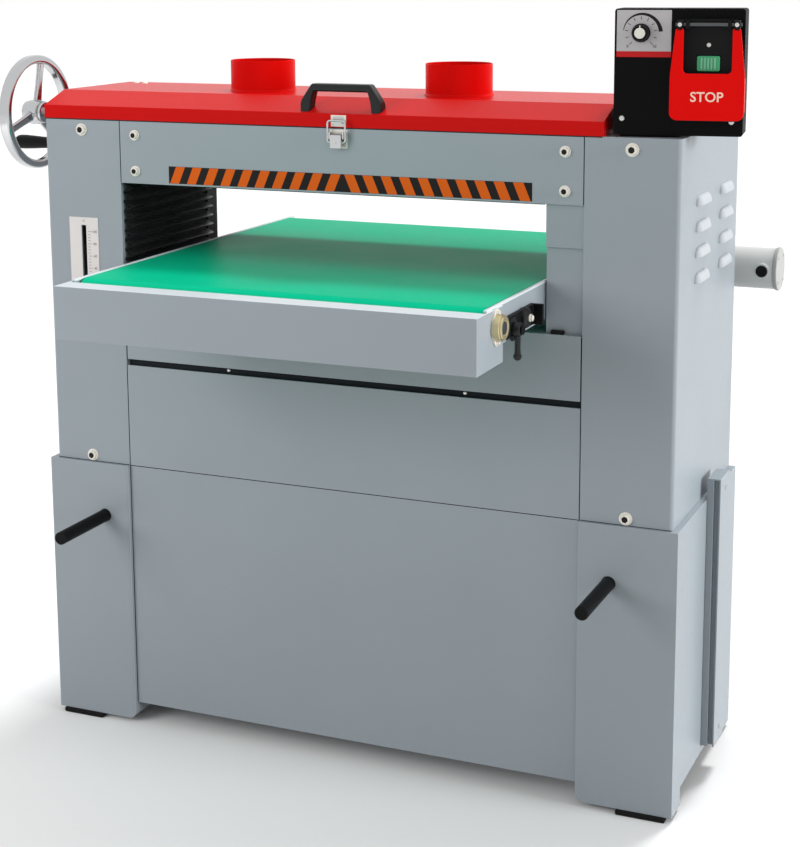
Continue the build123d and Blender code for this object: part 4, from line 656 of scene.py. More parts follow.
def settle(name, mesh, finishes, body, slot, replaced=(), smooth=35.0):
    """A finished mesh as a piece that rides on a body."""
    for material in finishes:
        mesh.materials.append(finish(material))
    for polygon in mesh.polygons:
        polygon.use_smooth = True
    mesh.set_sharp_from_angle(angle=math.radians(smooth))
    piece = placed(name, even_normals(name, mesh))
    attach(piece, body)
    if replaced:
        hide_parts(*replaced)
    return piece


def make(name, bm, material, body, slot, replaced=(), place=TO_ROW, smooth=35.0):
    """A piece from a mesh in millimetres."""
    bmesh.ops.remove_doubles(bm, verts=bm.verts, dist=1e-4)
    bmesh.ops.recalc_face_normals(bm, faces=bm.faces)
    bm.transform(place)
    return settle(name, as_mesh(name, bm), [material], body, slot, replaced, smooth)


def skin(node, finishes, width=0.8, limit=30.0, segments=2, pick=None, smooth=35.0, without=None):
    """A node's own shape with rounded edges; pick chooses a finish by a face's centre and normal."""
    bm = bmesh.new()
    bm.from_mesh(NODES[node].data)
    weld(bm)
    if without:
        drop_solids(bm, without)
    bmesh.ops.dissolve_limit(bm, angle_limit=math.radians(0.4), use_dissolve_boundaries=False, verts=bm.verts,
                             edges=bm.edges)
    ease(bm, width * MM, segments, limit, covered_edges(bm))
    bm.normal_update()
    for face in bm.faces:
        face.material_index = 0
        if pick:
            face.material_index = pick((face.calc_center_median() - HOME) / MM, face.normal)
    name = node + "_skin"
    return settle(name, as_mesh(name, bm), finishes, BODY_OF[node], SLOT_OF[node], [node], smooth)


# Geometry Nodes

def node_tree(name, inputs):
    """A geometry tree with named inputs; gives the tree and what comes in."""
    tree = bpy.data.node_groups.new(name, "GeometryNodeTree")
    for label, (kind, value) in inputs.items():
        socket = tree.interface.new_socket(name=label, in_out="INPUT", socket_type="NodeSocket" + kind)
        if value is not None:
            socket.default_value = value
    tree.interface.new_socket(name="Mesh", in_out="OUTPUT", socket_type="NodeSocketGeometry")
    return tree, add(tree, "NodeGroupInput").outputs


def closing(tree, geometry, material):
    """Realises the instances, gives them their material and sends them out."""
    real = add(tree, "GeometryNodeRealizeInstances", {0: geometry}).outputs[0]
    painted = add(tree, "GeometryNodeSetMaterial", {"Geometry": real, "Material": material})
    add(tree, "NodeGroupOutput", {"Mesh": painted.outputs[0]})


def repeat_tree():
    """One shape on every point of a mesh, turned as the point says."""
    tree, given = node_tree("Repeated Shape", {
        "Points": ("Geometry", None), "Shape": ("Object", None), "Size": ("Float", 1.0),
        "Finish": ("Material", None)})
    shape = add(tree, "GeometryNodeObjectInfo", {"Object": given["Shape"]})
    turn = add(tree, "GeometryNodeInputNamedAttribute", {"Name": "turn"}, data_type="FLOAT_VECTOR")
    rotation = add(tree, "FunctionNodeEulerToRotation", {0: turn.outputs[0]})
    spread = add(tree, "GeometryNodeInstanceOnPoints", {
        "Points": given["Points"], "Instance": shape.outputs["Geometry"], "Rotation": rotation.outputs[0],
        "Scale": given["Size"]})
    closing(tree, spread.outputs[0], given["Finish"])


def pleat_tree():
    """A sheet folded in even pleats, standing along Y and Z with its folds towards X."""
    tree, given = node_tree("Pleated Cover", {
        "Length": ("Float", 0.26), "Height": ("Float", 0.17), "Depth": ("Float", 0.016),
        "Pleats": ("Int", 9), "Finish": ("Material", None)})
    rows = maths(tree, "MULTIPLY_ADD", given["Pleats"], 12.0, 1.0)
    grid = add(tree, "GeometryNodeMeshGrid", {
        "Size X": given["Length"], "Size Y": given["Height"], "Vertices X": 5, "Vertices Y": rows})
    spot = add(tree, "GeometryNodeInputPosition").outputs[0]
    split = add(tree, "ShaderNodeSeparateXYZ", {0: spot}).outputs
    share = maths(tree, "DIVIDE", split["Y"], given["Height"])
    step = maths(tree, "MULTIPLY", maths(tree, "ADD", share, 0.5), given["Pleats"])
    fold = maths(tree, "MULTIPLY", maths(tree, "PINGPONG", step, 0.5), 2.0)
    soft = add(tree, "ShaderNodeMapRange", {"Value": fold}, interpolation_type="SMOOTHSTEP").outputs[0]
    sharp_share = maths(tree, "MULTIPLY", fold, 0.55)
    blend = maths(tree, "ADD", sharp_share, maths(tree, "MULTIPLY", soft, 0.45))
    deep = maths(tree, "MULTIPLY", blend, given["Depth"])
    folded = add(tree, "ShaderNodeCombineXYZ", {"X": deep, "Y": split["X"], "Z": split["Y"]}).outputs[0]
    move = add(tree, "GeometryNodeSetPosition", {"Geometry": grid.outputs["Mesh"], "Position": folded})
    closing(tree, move.outputs[0], given["Finish"])


def thread_tree():
    """A ridge wound round a screw along Z."""
    tree, given = node_tree("Screw Thread", {
        "Turns": ("Float", 100.0), "Height": ("Float", 0.4), "Radius": ("Float", 0.009),
        "Ridge": ("Float", 0.001), "Finish": ("Material", None)})
    coil = add(tree, "GeometryNodeCurveSpiral", {
        "Resolution": 14, "Rotations": given["Turns"], "Height": given["Height"],
        "Start Radius": given["Radius"], "End Radius": given["Radius"]})
    ridge = add(tree, "GeometryNodeCurvePrimitiveCircle", {"Resolution": 4, "Radius": given["Ridge"]})
    body = add(tree, "GeometryNodeCurveToMesh", {
        "Curve": coil.outputs[0], "Profile Curve": ridge.outputs[0], "Fill Caps": True})
    closing(tree, body.outputs[0], given["Finish"])


TREE_MAKERS = {"Repeated Shape": repeat_tree, "Pleated Cover": pleat_tree, "Screw Thread": thread_tree}


def grown(tree_name, values, points=None):
    """The plain mesh that a geometry tree gives for these inputs."""
    if tree_name not in bpy.data.node_groups:
        TREE_MAKERS[tree_name]()
    tree = bpy.data.node_groups[tree_name]
    carrier = placed("carrier", points or bpy.data.meshes.new("carrier"))
    modifier = carrier.modifiers.new("Grown", "NODES")
    modifier.node_group = tree
    for item in tree.interface.items_tree:
        if item.in_out == "INPUT" and item.name in values:
            modifier[item.identifier] = values[item.name]
    mesh = plain_mesh(carrier)
    if not mesh.polygons:
        raise RuntimeError(tree_name + " gave no faces")
    return mesh


def repeat(name, shape, spots, material, body, slot, replaced=(), place=TO_ROW, smooth=35.0):
    """One small shape, in millimetres about its own origin, on spots of a place and a turn."""
    bmesh.ops.recalc_face_normals(shape, faces=shape.faces)
    shape.transform(Matrix.Scale(MM, 4))
    pattern = placed("pattern", as_mesh(name, shape))
    points = bpy.data.meshes.new("points")
    points.from_pydata([place @ Vector(spot) for spot, turn in spots], [], [])
    turns = points.attributes.new("turn", "FLOAT_VECTOR", "POINT")
    for value, (spot, turn) in zip(turns.data, spots):
        whole = place.to_quaternion() @ Euler(turn).to_quaternion()
        value.vector = Vector(whole.to_euler())
    mesh = grown("Repeated Shape", {"Shape": pattern, "Size": 1.0, "Finish": finish(material)}, points)
    bpy.data.objects.remove(pattern)
    return settle(name, mesh, [], body, slot, replaced, smooth)


def wound(name, material, body, slot, length, pitch, radius, ridge, place):
    """A ridge wound along a screw or a drum; place sets its start and direction."""
    mesh = grown("Screw Thread", {
        "Turns": length / pitch, "Height": length * MM, "Radius": radius * MM, "Ridge": ridge * MM,
        "Finish": finish(material)})
    mesh.transform(place)
    return settle(name, mesh, [], body, slot, smooth=60.0)


# Small shapes that repeat; each has its seat at the origin and its head along +Z

def socket_bolt(washer, seat, head, tall, socket):
    """A washer with a round-headed socket screw."""
    bm = bmesh.new()
    turned(bm, [(0, washer), (seat - 0.4, washer), (seat, washer - 0.4), (seat, head)], steps=28)
    rim = seat + tall
    profile = [(seat, head), (rim - 0.8, head), (rim, head - 0.8), (rim, socket + 0.4), (rim - 0.4, socket)]
    turned(bm, profile, steps=28)
    return bm


def pan_screw(radius, tall, slot_width=0.0):
    """A domed screw head, with a cross slot where it is large enough to show."""
    bm = bmesh.new()
    profile = [(0, radius), (tall * 0.35, radius), (tall * 0.75, radius * 0.82), (tall, radius * 0.42)]
    turned(bm, profile, steps=20)
    parts = [bm]
    if slot_width:
        half = radius * 0.5
        for turn in (0.0, QUARTER):
            slot = bmesh.new()
            block(slot, (-half, -slot_width / 2, tall - 0.1), (half, slot_width / 2, tall + 0.12))
            slot.transform(Matrix.Rotation(turn, 4, "Z"))
            parts.append(slot)
    return joined(parts)


def hex_bolt(across, tall, washer):
    """A hexagon head on a washer."""
    seat = 1.5
    corner = across / 2 * 1.155
    bm = bmesh.new()
    turned(bm, [(0, washer), (1.1, washer), (seat, washer - 0.4), (seat, across * 0.55)], steps=24)
    turned(bm, [(seat, corner), (tall - 0.7, corner), (tall, across / 2 * 0.95)], steps=6)
    return bm


# Operators

class PieceOperator:
    """What every piece operator shares."""

    bl_options = {"REGISTER"}

    def execute(self, context):
        self.build(context.scene.sander_sizes)
        return {"FINISHED"}


class SANDER_OT_stage(PieceOperator, bpy.types.Operator):
    """Camera, floor and studio light"""

    bl_idname = "sander.stage"
    bl_label = "Stage"

    def build(self, sizes):
        settings = bpy.context.scene.sander_stage
        self.camera(settings)
        self.light(settings)
        self.floor()
        bpy.context.scene.view_settings.view_transform = "Standard"

    def camera(self, settings):
        """A long lens at the front right, a little above the machine."""
        spot = Vector((1119.3, -2389.5, 1254.6))
        yaw, pitch, roll = (math.radians(value) for value in (-23.123, -10.12, -0.273))
        ahead = Vector((math.sin(yaw) * math.cos(pitch), math.cos(yaw) * math.cos(pitch), math.sin(pitch)))
        right = Vector((math.cos(yaw), -math.sin(yaw), 0.0))
        up = right.cross(ahead)
        tilted_right = right * math.cos(roll) + up * math.sin(roll)
        tilted_up = up * math.cos(roll) - right * math.sin(roll)
        place = Matrix((tilted_right, tilted_up, -ahead)).transposed().to_4x4()
        place.translation = HOME + spot * MM
        lens = bpy.data.cameras.new("Camera")
        lens.sensor_fit = "AUTO"
        lens.sensor_width = 36.0
        lens.lens = settings.lens
        lens.shift_y = settings.shift
        camera = placed("Camera", lens)
        camera.matrix_world = place
        bpy.context.scene.camera = camera

    def light(self, settings):
        """Lamps, and a white surrounding that lights less than it shows."""
        white = (1.0, 1.0, 1.0, 1.0)
        world = bpy.data.worlds.new("Studio")
        world.use_nodes = True
        bpy.context.scene.world = world
        tree = world.node_tree
        tree.nodes.clear()
        even = add(tree, "ShaderNodeBackground", {"Color": white, "Strength": settings.sky})
        shown = add(tree, "ShaderNodeBackground", {"Color": white})
        share = seen(tree, "Is Camera Ray", "Is Glossy Ray", "Is Transmission Ray")
        mix = add(tree, "ShaderNodeMixShader", {0: share, 1: even.outputs[0], 2: shown.outputs[0]})
        add(tree, "ShaderNodeOutputWorld", {"Surface": mix.outputs[0]})
        self.lamp("Key", "SUN", settings.key, (0.98, 0.03, 0.17)).angle = math.radians(24.0)
        self.lamp("Back", "SUN", settings.back, (0.12, 0.465, 0.877)).angle = math.radians(14.0)
        self.lamp("Fill", "AREA", settings.fill, (-0.55, -0.76, 0.34)).size = 1.6

    def lamp(self, name, kind, strength, towards):
        """A lamp that shines from that direction and isn't seen itself."""
        aim, distance = Vector((0.0, 0.0, 0.5)), 3.4
        light = bpy.data.lights.new(name, kind)
        light.energy = strength
        holder = placed(name, light)
        holder.location = HOME + aim + Vector(towards) * distance
        holder.rotation_euler = Vector(towards).to_track_quat("Z", "Y").to_euler()
        holder.visible_camera = False
        holder.visible_glossy = False
        return light

    def floor(self):
        """A wide floor that looks white but throws less light on the machine."""
        bm = bmesh.new()
        bmesh.ops.create_grid(bm, x_segments=4, y_segments=4, size=14.0)
        mesh = as_mesh("Floor", bm)
        material = bpy.data.materials.new("floor_white")
        material.use_nodes = True
        tree = material.node_tree
        soft = noise(tree, place_of(tree), 2.0)
        lighting = shaded(tree, (0.42, 0.42, 0.42), 0.01, soft)
        shown = shaded(tree, (0.94, 0.94, 0.94), 0.01, soft)
        tint = mixed(tree, seen(tree, "Is Camera Ray", "Is Glossy Ray"), lighting, shown)
        shader = tree.nodes["Principled BSDF"]
        for key, value in (("Base Color", tint), ("Roughness", 0.9), ("Specular IOR Level", 0.1)):
            feed(tree, value, shader.inputs[key])
        mesh.materials.append(material)
        floor = placed("Floor", mesh)


class SANDER_OT_stand(PieceOperator, bpy.types.Operator):
    """Columns, cabinets, panels, feet and their fasteners"""

    bl_idname = "sander.stand"
    bl_label = "Stand"

    def build(self, sizes):
        for node in ("left_column", "left_cabinet", "right_cabinet", "lower_front_panel", "upper_front_panel",
                     "rear_panel", "base_shelf", "side_cover"):
            skin(node, ["grey_paint"], sizes.sheet_ease)
        proud = 8.0
        side = extent("right_column")[1].x - proud
        skin("right_column", ["grey_paint"], sizes.sheet_ease, without=lambda spot: spot.x > side + 0.5)
        self.louvres(side, proud)
        skin("feet", ["black_rubber"], 2.0, segments=3)
        self.seams()
        self.bolts("beam_bolts", 356.5, (993, 936), 0.85)
        self.bolts("frame_bolts", 455, (999, 460), 1.0, ["frame_bolts"])
        back = extent("rear_panel")[1].y
        spots = [((x, back, z), FACE_BACK) for x in (-360, 0, 360) for z in (52, 430)]
        repeat("rear_panel_screws", pan_screw(5.0, 2.6, 1.0), spots, "zinc", "frame", "zinc")
        face = extent("side_cover")[1].x
        spots = [((face, 205, z), facing(1)) for z in (70, 462)]
        repeat("side_cover_screws", pan_screw(4.0, 2.0, 0.9), spots, "zinc", "frame", "zinc")

    def louvres(self, side, proud):
        """Pressed louvres with rounded ends, open below, in a lighter paint that is a painted highlight, and
        painted shade in their openings.
        """
        half, tall, thick, rounding = 37.5, 14.0, 1.2, 14.0
        top, pitch, columns = 918.0, 38.0, (132.0, 282.0)
        arcs = [math.radians(7.5 * i) for i in range(13)]
        rings = []
        for step in range(-24, 25):
            y = half * math.sin(math.radians(3.75 * step))
            past = max(0.0, abs(y) - half + rounding) / rounding
            share = max(0.02, math.sqrt(1.0 - past * past))
            low = share * max(0.0, tall - thick / share)
            out = share * max(0.0, proud - thick / share)
            ring = [(proud * share * math.sin(a), y, tall * (share * math.cos(a) - 0.5)) for a in arcs]
            ring += [(out * math.sin(a), y, low * math.cos(a) - tall / 2) for a in reversed(arcs)]
            rings.append(ring)
        hood = bmesh.new()
        loft(hood, rings)
        bmesh.ops.remove_doubles(hood, verts=hood.verts, dist=0.02)
        spots = [((side, y, top - pitch * row), FACE_UP) for y in columns for row in range(4)]
        # The louvres take a lighter paint than the column: a painted highlight of the light on them.
        repeat("louvres", hood, spots, "louvre_highlight_paint", "frame", "grey_paint", smooth=50.0)
        # A dark plate just inside each louvre: painted shade in its opening.
        inset = 16.0
        opening_shade = bmesh.new()
        block(opening_shade, (0.0, inset - half, 0.4 - tall / 2), (0.15, half - inset, tall / 2 - 3.0))
        repeat("louvre_openings", opening_shade, spots, "seam_shadow", "frame", "black_metal")

    def bolts(self, name, x, heights, size, replaced=()):
        """Washers with socket screws on both sides of the front, and painted shade in the hollows of their
        sockets.
        """
        seat, tall, sunk = 2.0, 5.0, 0.25
        spots = [((side * x, 0.0, z), FACE_FRONT) for side in (-1, 1) for z in heights]
        head = socket_bolt(10.0 * size, seat, 7.2 * size, tall, 4.6 * size)
        repeat(name + "_heads", head, spots, "pale_zinc", "frame", "zinc", replaced)
        # Dark discs down in the sockets: painted shade.
        socket_shade = bmesh.new()
        turned(socket_shade, [(0, 5.0 * size), (0.15, 5.0 * size)], steps=6)
        spots = [((u, sunk - seat - tall, w), turn) for (u, _, w), turn in spots]
        repeat(name + "_sockets", socket_shade, spots, "black_print", "frame", "black_metal")

    def seams(self):
        """Dark joints between the sheets."""
        wide, joint = 1.3, 385.0
        bm = bmesh.new()

        def line(x0, x1, z0, z1):
            block(bm, (x0, -0.12, z0), (x1, 0.05, z1))
        for upright, level in zip(both_sides(joint - wide, joint), both_sides(386.0, 523.0)):
            line(*upright, 37.0, 618.0)
            line(*upright, 917.0, 1015.0)
            line(*level, 449.0, 450.0)
        line(-384.0, 384.0, 448.4, 449.6)
        line(-524.0, 411.0, 1014.6, 1016.0)
        make("panel_seams", bm, "seam_shadow", "frame", "black_metal")


class SANDER_OT_head(PieceOperator, bpy.types.Operator):
    """Beams, bearing plates, drums, hold-down rollers and the hazard strip"""

    bl_idname = "sander.head"
    bl_label = "Head"

    def build(self, sizes):
        skin("head_beams", ["grey_paint"], sizes.sheet_ease)
        skin("head_plates", ["grey_paint"], 0.6)
        skin("drum_bearings", ["cast_iron"], 1.2)
        for node in ("front_drum", "rear_drum"):
            self.drum(node)
        # The hold-down rollers are dark steel, which also paints shade on the strip of them that shows below
        # the beam.
        for node in ("front_hold_roller", "rear_hold_roller"):
            skin(node, ["dark_steel"], 0.5)
        self.hazard_strip(sizes.stripe_pitch)

    def drum(self, node):
        """A drum wrapped in abrasive strip, and the strip's butt joint wound along it."""
        y, z = middle(node)[1:]
        end, shaft, wrapped = 330.0, 13.5, 57.3

        def pick(spot, normal):
            reach = math.hypot(spot.y - y, spot.z - z)
            if abs(spot.x) > end:
                return 2 if reach < shaft else 3
            return 0 if reach > wrapped and abs(normal.x) < 0.5 else 1
        skin(node, ["abrasive", "aluminium", "steel", "cast_iron"], 0.5, pick=pick)
        half, strip, radius, ridge = 319.0, 106.0, 57.9, 0.45
        start = Matrix.Translation(HOME + Vector((-half, y, z)) * MM)
        place = start @ Matrix.Rotation(QUARTER, 4, "Y")
        wound(node + "_wrap_seam", "black_print", node, "aluminium", 2 * half, strip, radius, ridge, place)

    def hazard_strip(self, pitch):
        """A black strip on the beam, and orange stripes that lean both ways from its middle."""
        low, high = 919.0, 946.0
        left, right, meet = -296.0, 307.0, 5.5
        thick, opening_shade, lean = 0.35, 3.0, 11.3
        wide = pitch * 0.535
        tall = high - low - 0.3
        bm = bmesh.new()
        block(bm, (left, -thick, low), (right, 0.0, high))
        make("hazard_strip_base", bm, "black_print", "frame", "black_plastic")
        for side, name in ((-1, "hazard_stripes_left"), (1, "hazard_stripes_right")):
            spots = [((meet + side * (opening_shade + i * pitch), -thick, low), FACE_UP) for i in range(10)]
            outline = [(side * lean, 0.3), (side * (lean + wide), 0.3), (side * wide, tall), (0.0, tall)]
            stripe = bmesh.new()
            prism(stripe, outline, "Y", -0.2, 0.1)
            repeat(name, stripe, spots, "hazard_orange", "frame", "red_plastic")


class SANDER_OT_hood(PieceOperator, bpy.types.Operator):
    """Hood with its ports, handle, hinges and latch"""

    bl_idname = "sander.hood"
    bl_label = "Hood"

    def build(self, sizes):
        skin("hood", ["red_paint"], sizes.hood_ease, limit=12.0, segments=3, smooth=30.0)
        self.ports()
        self.handle()
        for node, plating in (("hood_hinges", "zinc"), ("hinge_bases", "zinc"), ("latch_base", "zinc"),
                              ("latch_lever", "chrome"), ("latch_keeper", "zinc")):
            skin(node, [plating], 0.4)
        self.loop()
        self.latch_plates()
        self.fasteners()

    def ports(self):
        """Two round dust ports, each with a rolled foot and a rounded rim."""
        low, high = extent("dust_ports")
        bore, wall, tall = 50.0, 2.0, high.z - low.z
        outside = bore + wall
        profile = [(0, bore), (0, outside + 2.4), (1.2, outside + 1.7), (2.6, outside + 0.5), (4.2, outside),
                   (tall - 1.6, outside), (tall - 0.5, outside - 0.3), (tall, bore + wall / 2),
                   (tall - 0.5, bore + 0.3), (tall - 1.6, bore)]
        bm = bmesh.new()
        for x in (-205.0, 135.0):
            turned(bm, profile, (x, 152.0, low.z), ALONG_Z, 72, closed=True)
        make("dust_ports_rolled", bm, "port_paint", "hood", "red_paint", ["dust_ports"], smooth=50.0)

    def handle(self):
        """An angular bow with rounded edges, cut off by the slope that it stands on."""
        y, deep, corner = 15.0, 22.0, 4.4
        rise = 21.0 / 58.7
        foot = 1037.0 + y * rise
        top = foot + 38.5
        right = [((51.5, foot - 9.0), (67.0, foot - 9.0)), ((49.2, foot + 8.0), (67.0, foot + 8.0)),
                 ((48.6, foot + 12.0), (65.6, foot + 13.5)), ((45.4, top - 13.6), (49.4, top - 2.0)),
                 ((44.0, top - 12.2), (47.2, top - 0.2)), ((41.0, top - 12.0), (44.0, top))]
        left = [((-x0, z0), (-x1, z1)) for (x0, z0), (x1, z1) in right]
        rings = []
        for (x0, z0), (x1, z1) in left + right[::-1]:
            wide = math.hypot(x1 - x0, z1 - z0)
            ring = []
            for u, v in rounded_rectangle(deep, wide, corner, 6):
                share = v / wide + 0.5
                ring.append((x0 + (x1 - x0) * share, y + u, z0 + (z1 - z0) * share))
            rings.append(ring)
        bm = bmesh.new()
        loft(bm, rings)
        slope = Vector((0.0, -rise, 1.0)).normalized()
        cut = bmesh.ops.bisect_plane(bm, geom=bm.verts[:] + bm.edges[:] + bm.faces[:], plane_co=(0, y, foot),
                                     plane_no=slope, clear_inner=True)
        rim = [item for item in cut["geom_cut"] if isinstance(item, bmesh.types.BMEdge)]
        bmesh.ops.holes_fill(bm, edges=rim, sides=0)
        make("hood_handle_bow", bm, "gloss_black", "hood", "black_plastic", ["hood_handle"], smooth=50.0)

    def loop(self):
        """The latch's wire loop."""
        wire, bend = 1.6, 5.0
        low, high = extent("latch_loop")
        y = (low.y + high.y) / 2
        half = (high.x - low.x) / 2 - wire
        z0, z1 = low.z + wire, high.z - wire
        path = bent_ring([(-half, y, z0), (half, y, z0), (half, y, z1), (-half, y, z1)], bend)
        bm = bmesh.new()
        swept(bm, path, circle(wire, 12), closed=True)
        make("latch_loop_wire", bm, "chrome", "latch_loop", "chrome", ["latch_loop"], smooth=60.0)

    def latch_plates(self):
        """Thin plates behind the latch on the beam and behind its keeper on the hood."""
        for name, body, half, bottom, top in (("latch_plate", "frame", 14.5, 985.0, 1013.5),
                                              ("keeper_plate", "hood", 12.5, 1017.5, 1035.0)):
            bm = bmesh.new()
            block(bm, (-half, -0.9, bottom), (half, 0.0, top))
            ease(bm, 0.3)
            make(name, bm, "pale_zinc", body, "zinc")

    def fasteners(self):
        hood = extent("hood")[1]
        spots = [((x, 228.0, hood.z), FACE_UP) for x in (-490.0, -473.0)]
        repeat("hood_top_screws", pan_screw(4.6, 3.0), spots, "white_print", "hood", "zinc")
        leaf_y, leaf_z = hood.y + 2.0, extent("hinge_bases")[0].z + 10.0
        spots = [((x + dx, leaf_y, leaf_z), FACE_BACK) for x in (-290, 290) for dx in (-20, 20)]
        repeat("hinge_screws", pan_screw(3.4, 1.8, 0.7), spots, "zinc", "frame", "zinc")
        lever = extent("latch_lever")[0]
        rivet = bmesh.new()
        turned(rivet, [(0, 2.2), (0.5, 2.0), (0.9, 1.2)], steps=16)
        spots = [((0.0, lever.y, lever.z + 9.0), FACE_FRONT)]
        repeat("latch_rivet", rivet, spots, "zinc", "latch_lever", "zinc")


class SANDER_OT_table(PieceOperator, bpy.types.Operator):
    """Feed table with its belt, apron, rollers and take-up"""

    bl_idname = "sander.table"
    bl_label = "Feed table"

    def build(self, sizes):
        lip = extent("apron")[1].z - 2.0

        def pointer(spot, normal):
            return int(spot.y < -0.5 and spot.x < -440)

        # The apron's upward faces take the pale colour as a painted highlight of the light on its lip.
        def highlight_top(spot, normal):
            return int(normal.z > 0.6 and spot.z > lip)

        def shadow_gap(spot, normal):
            return int(4.0 < spot.y < 8.9 and spot.z < 640.0)
        skin("table_frame", ["grey_paint", "red_print"], 0.6, pick=pointer)
        skin("apron", ["grey_paint", "pale_paint"], sizes.sheet_ease, pick=highlight_top)
        skin("conveyor_belt", ["feed_belt"], 0.4, smooth=40.0)
        skin("band_panel", ["grey_paint", "seam_shadow"], 0.6, pick=shadow_gap)
        for node in ("front_roller", "rear_roller"):
            skin(node, ["steel"], 0.6)
        self.bearings()
        self.edge_strips()
        skin("takeup_brackets", ["black_metal"], 0.8)
        self.lever()
        self.feed_motor()
        spots = [((x, 7.9, 623.0), FACE_FRONT) for x in (-201.0, 201.0)]
        repeat("band_screws", pan_screw(3.2, 2.0), spots, "zinc", "table", "zinc")

    def edge_strips(self):
        """Pale edging along the rails on both sides of the belt."""
        top = extent("conveyor_belt")[1].z + 0.8
        bm = bmesh.new()
        for x0, x1 in both_sides(320.0, 325.4):
            block(bm, (x0, -236.0, 799.5), (x1, 485.0, top))
        ease(bm, 0.8)
        make("belt_edge_strips", bm, "pale_paint", "table", "grey_paint")

    def bearings(self):
        """Flanged roller bearings with a plated barrel and the dark end of the shaft in it."""
        z, flange, corners = 775.6, 3.0, 48
        barrel = [(2.0, 18.6), (10.8, 18.6), (11.6, 17.8)]
        collar = [(11.0, 16.4), (13.6, 16.4), (14.6, 15.4), (14.6, 12.0), (13.0, 11.4)]
        flanges = bmesh.new()
        barrels = bmesh.new()
        ends = bmesh.new()
        screws = []
        for y, face in ((FRONT_ROLLER_Y, 328.0), (REAR_ROLLER_Y, 325.0)):
            outline = []
            for i in range(corners):
                angle = 2.0 * math.pi * i / corners
                reach = 18.0 + 6.0 * math.sin(angle) ** 4
                outline.append((y + 0.92 * reach * math.cos(angle), z + 1.08 * reach * math.sin(angle)))
            for side, (low, high) in zip((-1, 1), both_sides(face, face + flange)):
                spot, out = (side * face, y, z), (side, 0, 0)
                prism(flanges, outline, "X", low, high)
                turned(barrels, barrel, spot, out)
                turned(barrels, collar, spot, out)
                turned(ends, [(12.0, 9.0), (13.9, 9.0), (14.3, 8.4)], spot, out, 32)
                for dz in (-20.5, 20.5):
                    screws.append(((side * (face + flange), y, z + dz), facing(side)))
        make("roller_bearing_flanges", flanges, "pale_zinc", "table", "zinc", ["roller_bearings"])
        make("roller_bearing_barrels", barrels, "yellow_zinc", "table", "zinc")
        make("roller_bearing_ends", ends, "dark_steel", "table", "steel")
        repeat("roller_bearing_screws", hex_bolt(6.0, 4.0, 4.2), screws, "pale_zinc", "table", "zinc")

    def lever(self):
        """The clamp lever: a round hub, a waisted arm and a ball at its end."""
        x, y = middle("clamp_lever")[:2]
        z = extent("clamp_lever")[1].z - 8.0
        bm = bmesh.new()
        turned(bm, [(-6, 9.2), (-5.0, 10), (3.6, 10), (5.4, 8.6), (6, 6.4)], (x, y, z), ALONG_X, 32)
        path = [Vector((x, y, z - reach)) for reach in (4, 10, 18, 26, 33, 37)]
        scales = [(1.0, 1.0), (0.98, 1.0), (0.92, 0.95), (0.9, 0.95), (0.95, 1.0), (1.0, 1.0)]
        swept(bm, path, rounded_rectangle(11.0, 7.0, 2.6), scales)
        ball = bmesh.ops.create_uvsphere(bm, u_segments=20, v_segments=12, radius=6.0)
        bmesh.ops.translate(bm, vec=(x, y, z - 38.0), verts=ball["verts"])
        make("clamp_lever_arm", bm, "gloss_black", "clamp_lever", "black_metal", ["clamp_lever"], smooth=45.0)
        self.clamp_washers(y, z)

    def clamp_washers(self, y, z):
        """A flat washer under the lever, domed ones with bolts behind it and a rubber stop on the ledge."""
        face, tall = 331.0, 7.6
        back_y, back_z = -98.0, z + 7.0
        bm = bmesh.new()
        turned(bm, [(0.0, 17.0), (0.9, 16.8), (1.0, 15.4)], (face, y, z), ALONG_X, 40)
        bolts = []
        for side in (-1, 1):
            dome = [(0.0, 15.0), (4.0, 14.6), (6.5, 12.0), (tall, 8.0)]
            turned(bm, dome, (side * face, back_y, back_z), (side, 0, 0), 40)
            bolts.append(((side * (face + tall), back_y, back_z), facing(side)))
        make("takeup_washers", bm, "gloss_black", "table", "black_metal")
        repeat("takeup_bolts", hex_bolt(8.0, 5.0, 5.6), bolts, "pale_zinc", "table", "zinc")
        bm = bmesh.new()
        block(bm, (336.0, 2.2, 725.2), (356.0, 8.6, 731.0))
        ease(bm, 1.0)
        make("table_stop_strip", bm, "black_rubber", "table", "black_rubber")

    def feed_motor(self):
        """The gearbox, and its motor with a flanged end plate and a brush plug."""
        box_end, y, z = 394.0, REAR_ROLLER_Y, 763.6
        end = extent("gear_motor")[1].x
        centre, plug = (0, y, z), (556.0, y, z)
        to_front = (0, -1, 0)
        skin("gear_motor", ["cast_iron"], 1.4, segments=3, without=lambda spot: spot.x > box_end + 0.5)
        bm = bmesh.new()
        tube = [(box_end, 34.5), (box_end + 6.0, 34.5), (box_end + 6.6, 33.6), (end - 8.0, 33.6)]
        turned(bm, tube, centre, ALONG_X, 72)
        turned(bm, [(29.0, 13.0), (34.4, 13.0), (35.2, 12.2)], plug, to_front)
        make("feed_motor_tube", bm, "cream_paint", "table", "cream_paint")
        bm = bmesh.new()
        plate = [(end - 8.0, 34.0), (end - 5.5, 34.0), (end - 5.0, 35.6), (end - 1.0, 35.6), (end, 34.6)]
        turned(bm, plate, centre, ALONG_X, 72)
        make("feed_motor_plate", bm, "cap_paint", "table", "cream_paint")
        bm = bmesh.new()
        turned(bm, [(30.0, 9.6), (36.4, 9.6), (37.6, 8.4), (37.6, 5.4), (36.8, 4.8)], plug, to_front, 40)
        make("brush_plug", bm, "black_plastic", "table", "black_plastic")
        spots = []
        for i in range(4):
            angle = math.radians(45.0 + 90.0 * i)
            spot = (end - 0.5, y + 28.5 * math.cos(angle), z + 28.5 * math.sin(angle))
            spots.append((spot, facing(1)))
        repeat("feed_motor_screws", pan_screw(3.2, 2.0, 0.8), spots, "zinc", "table", "zinc")


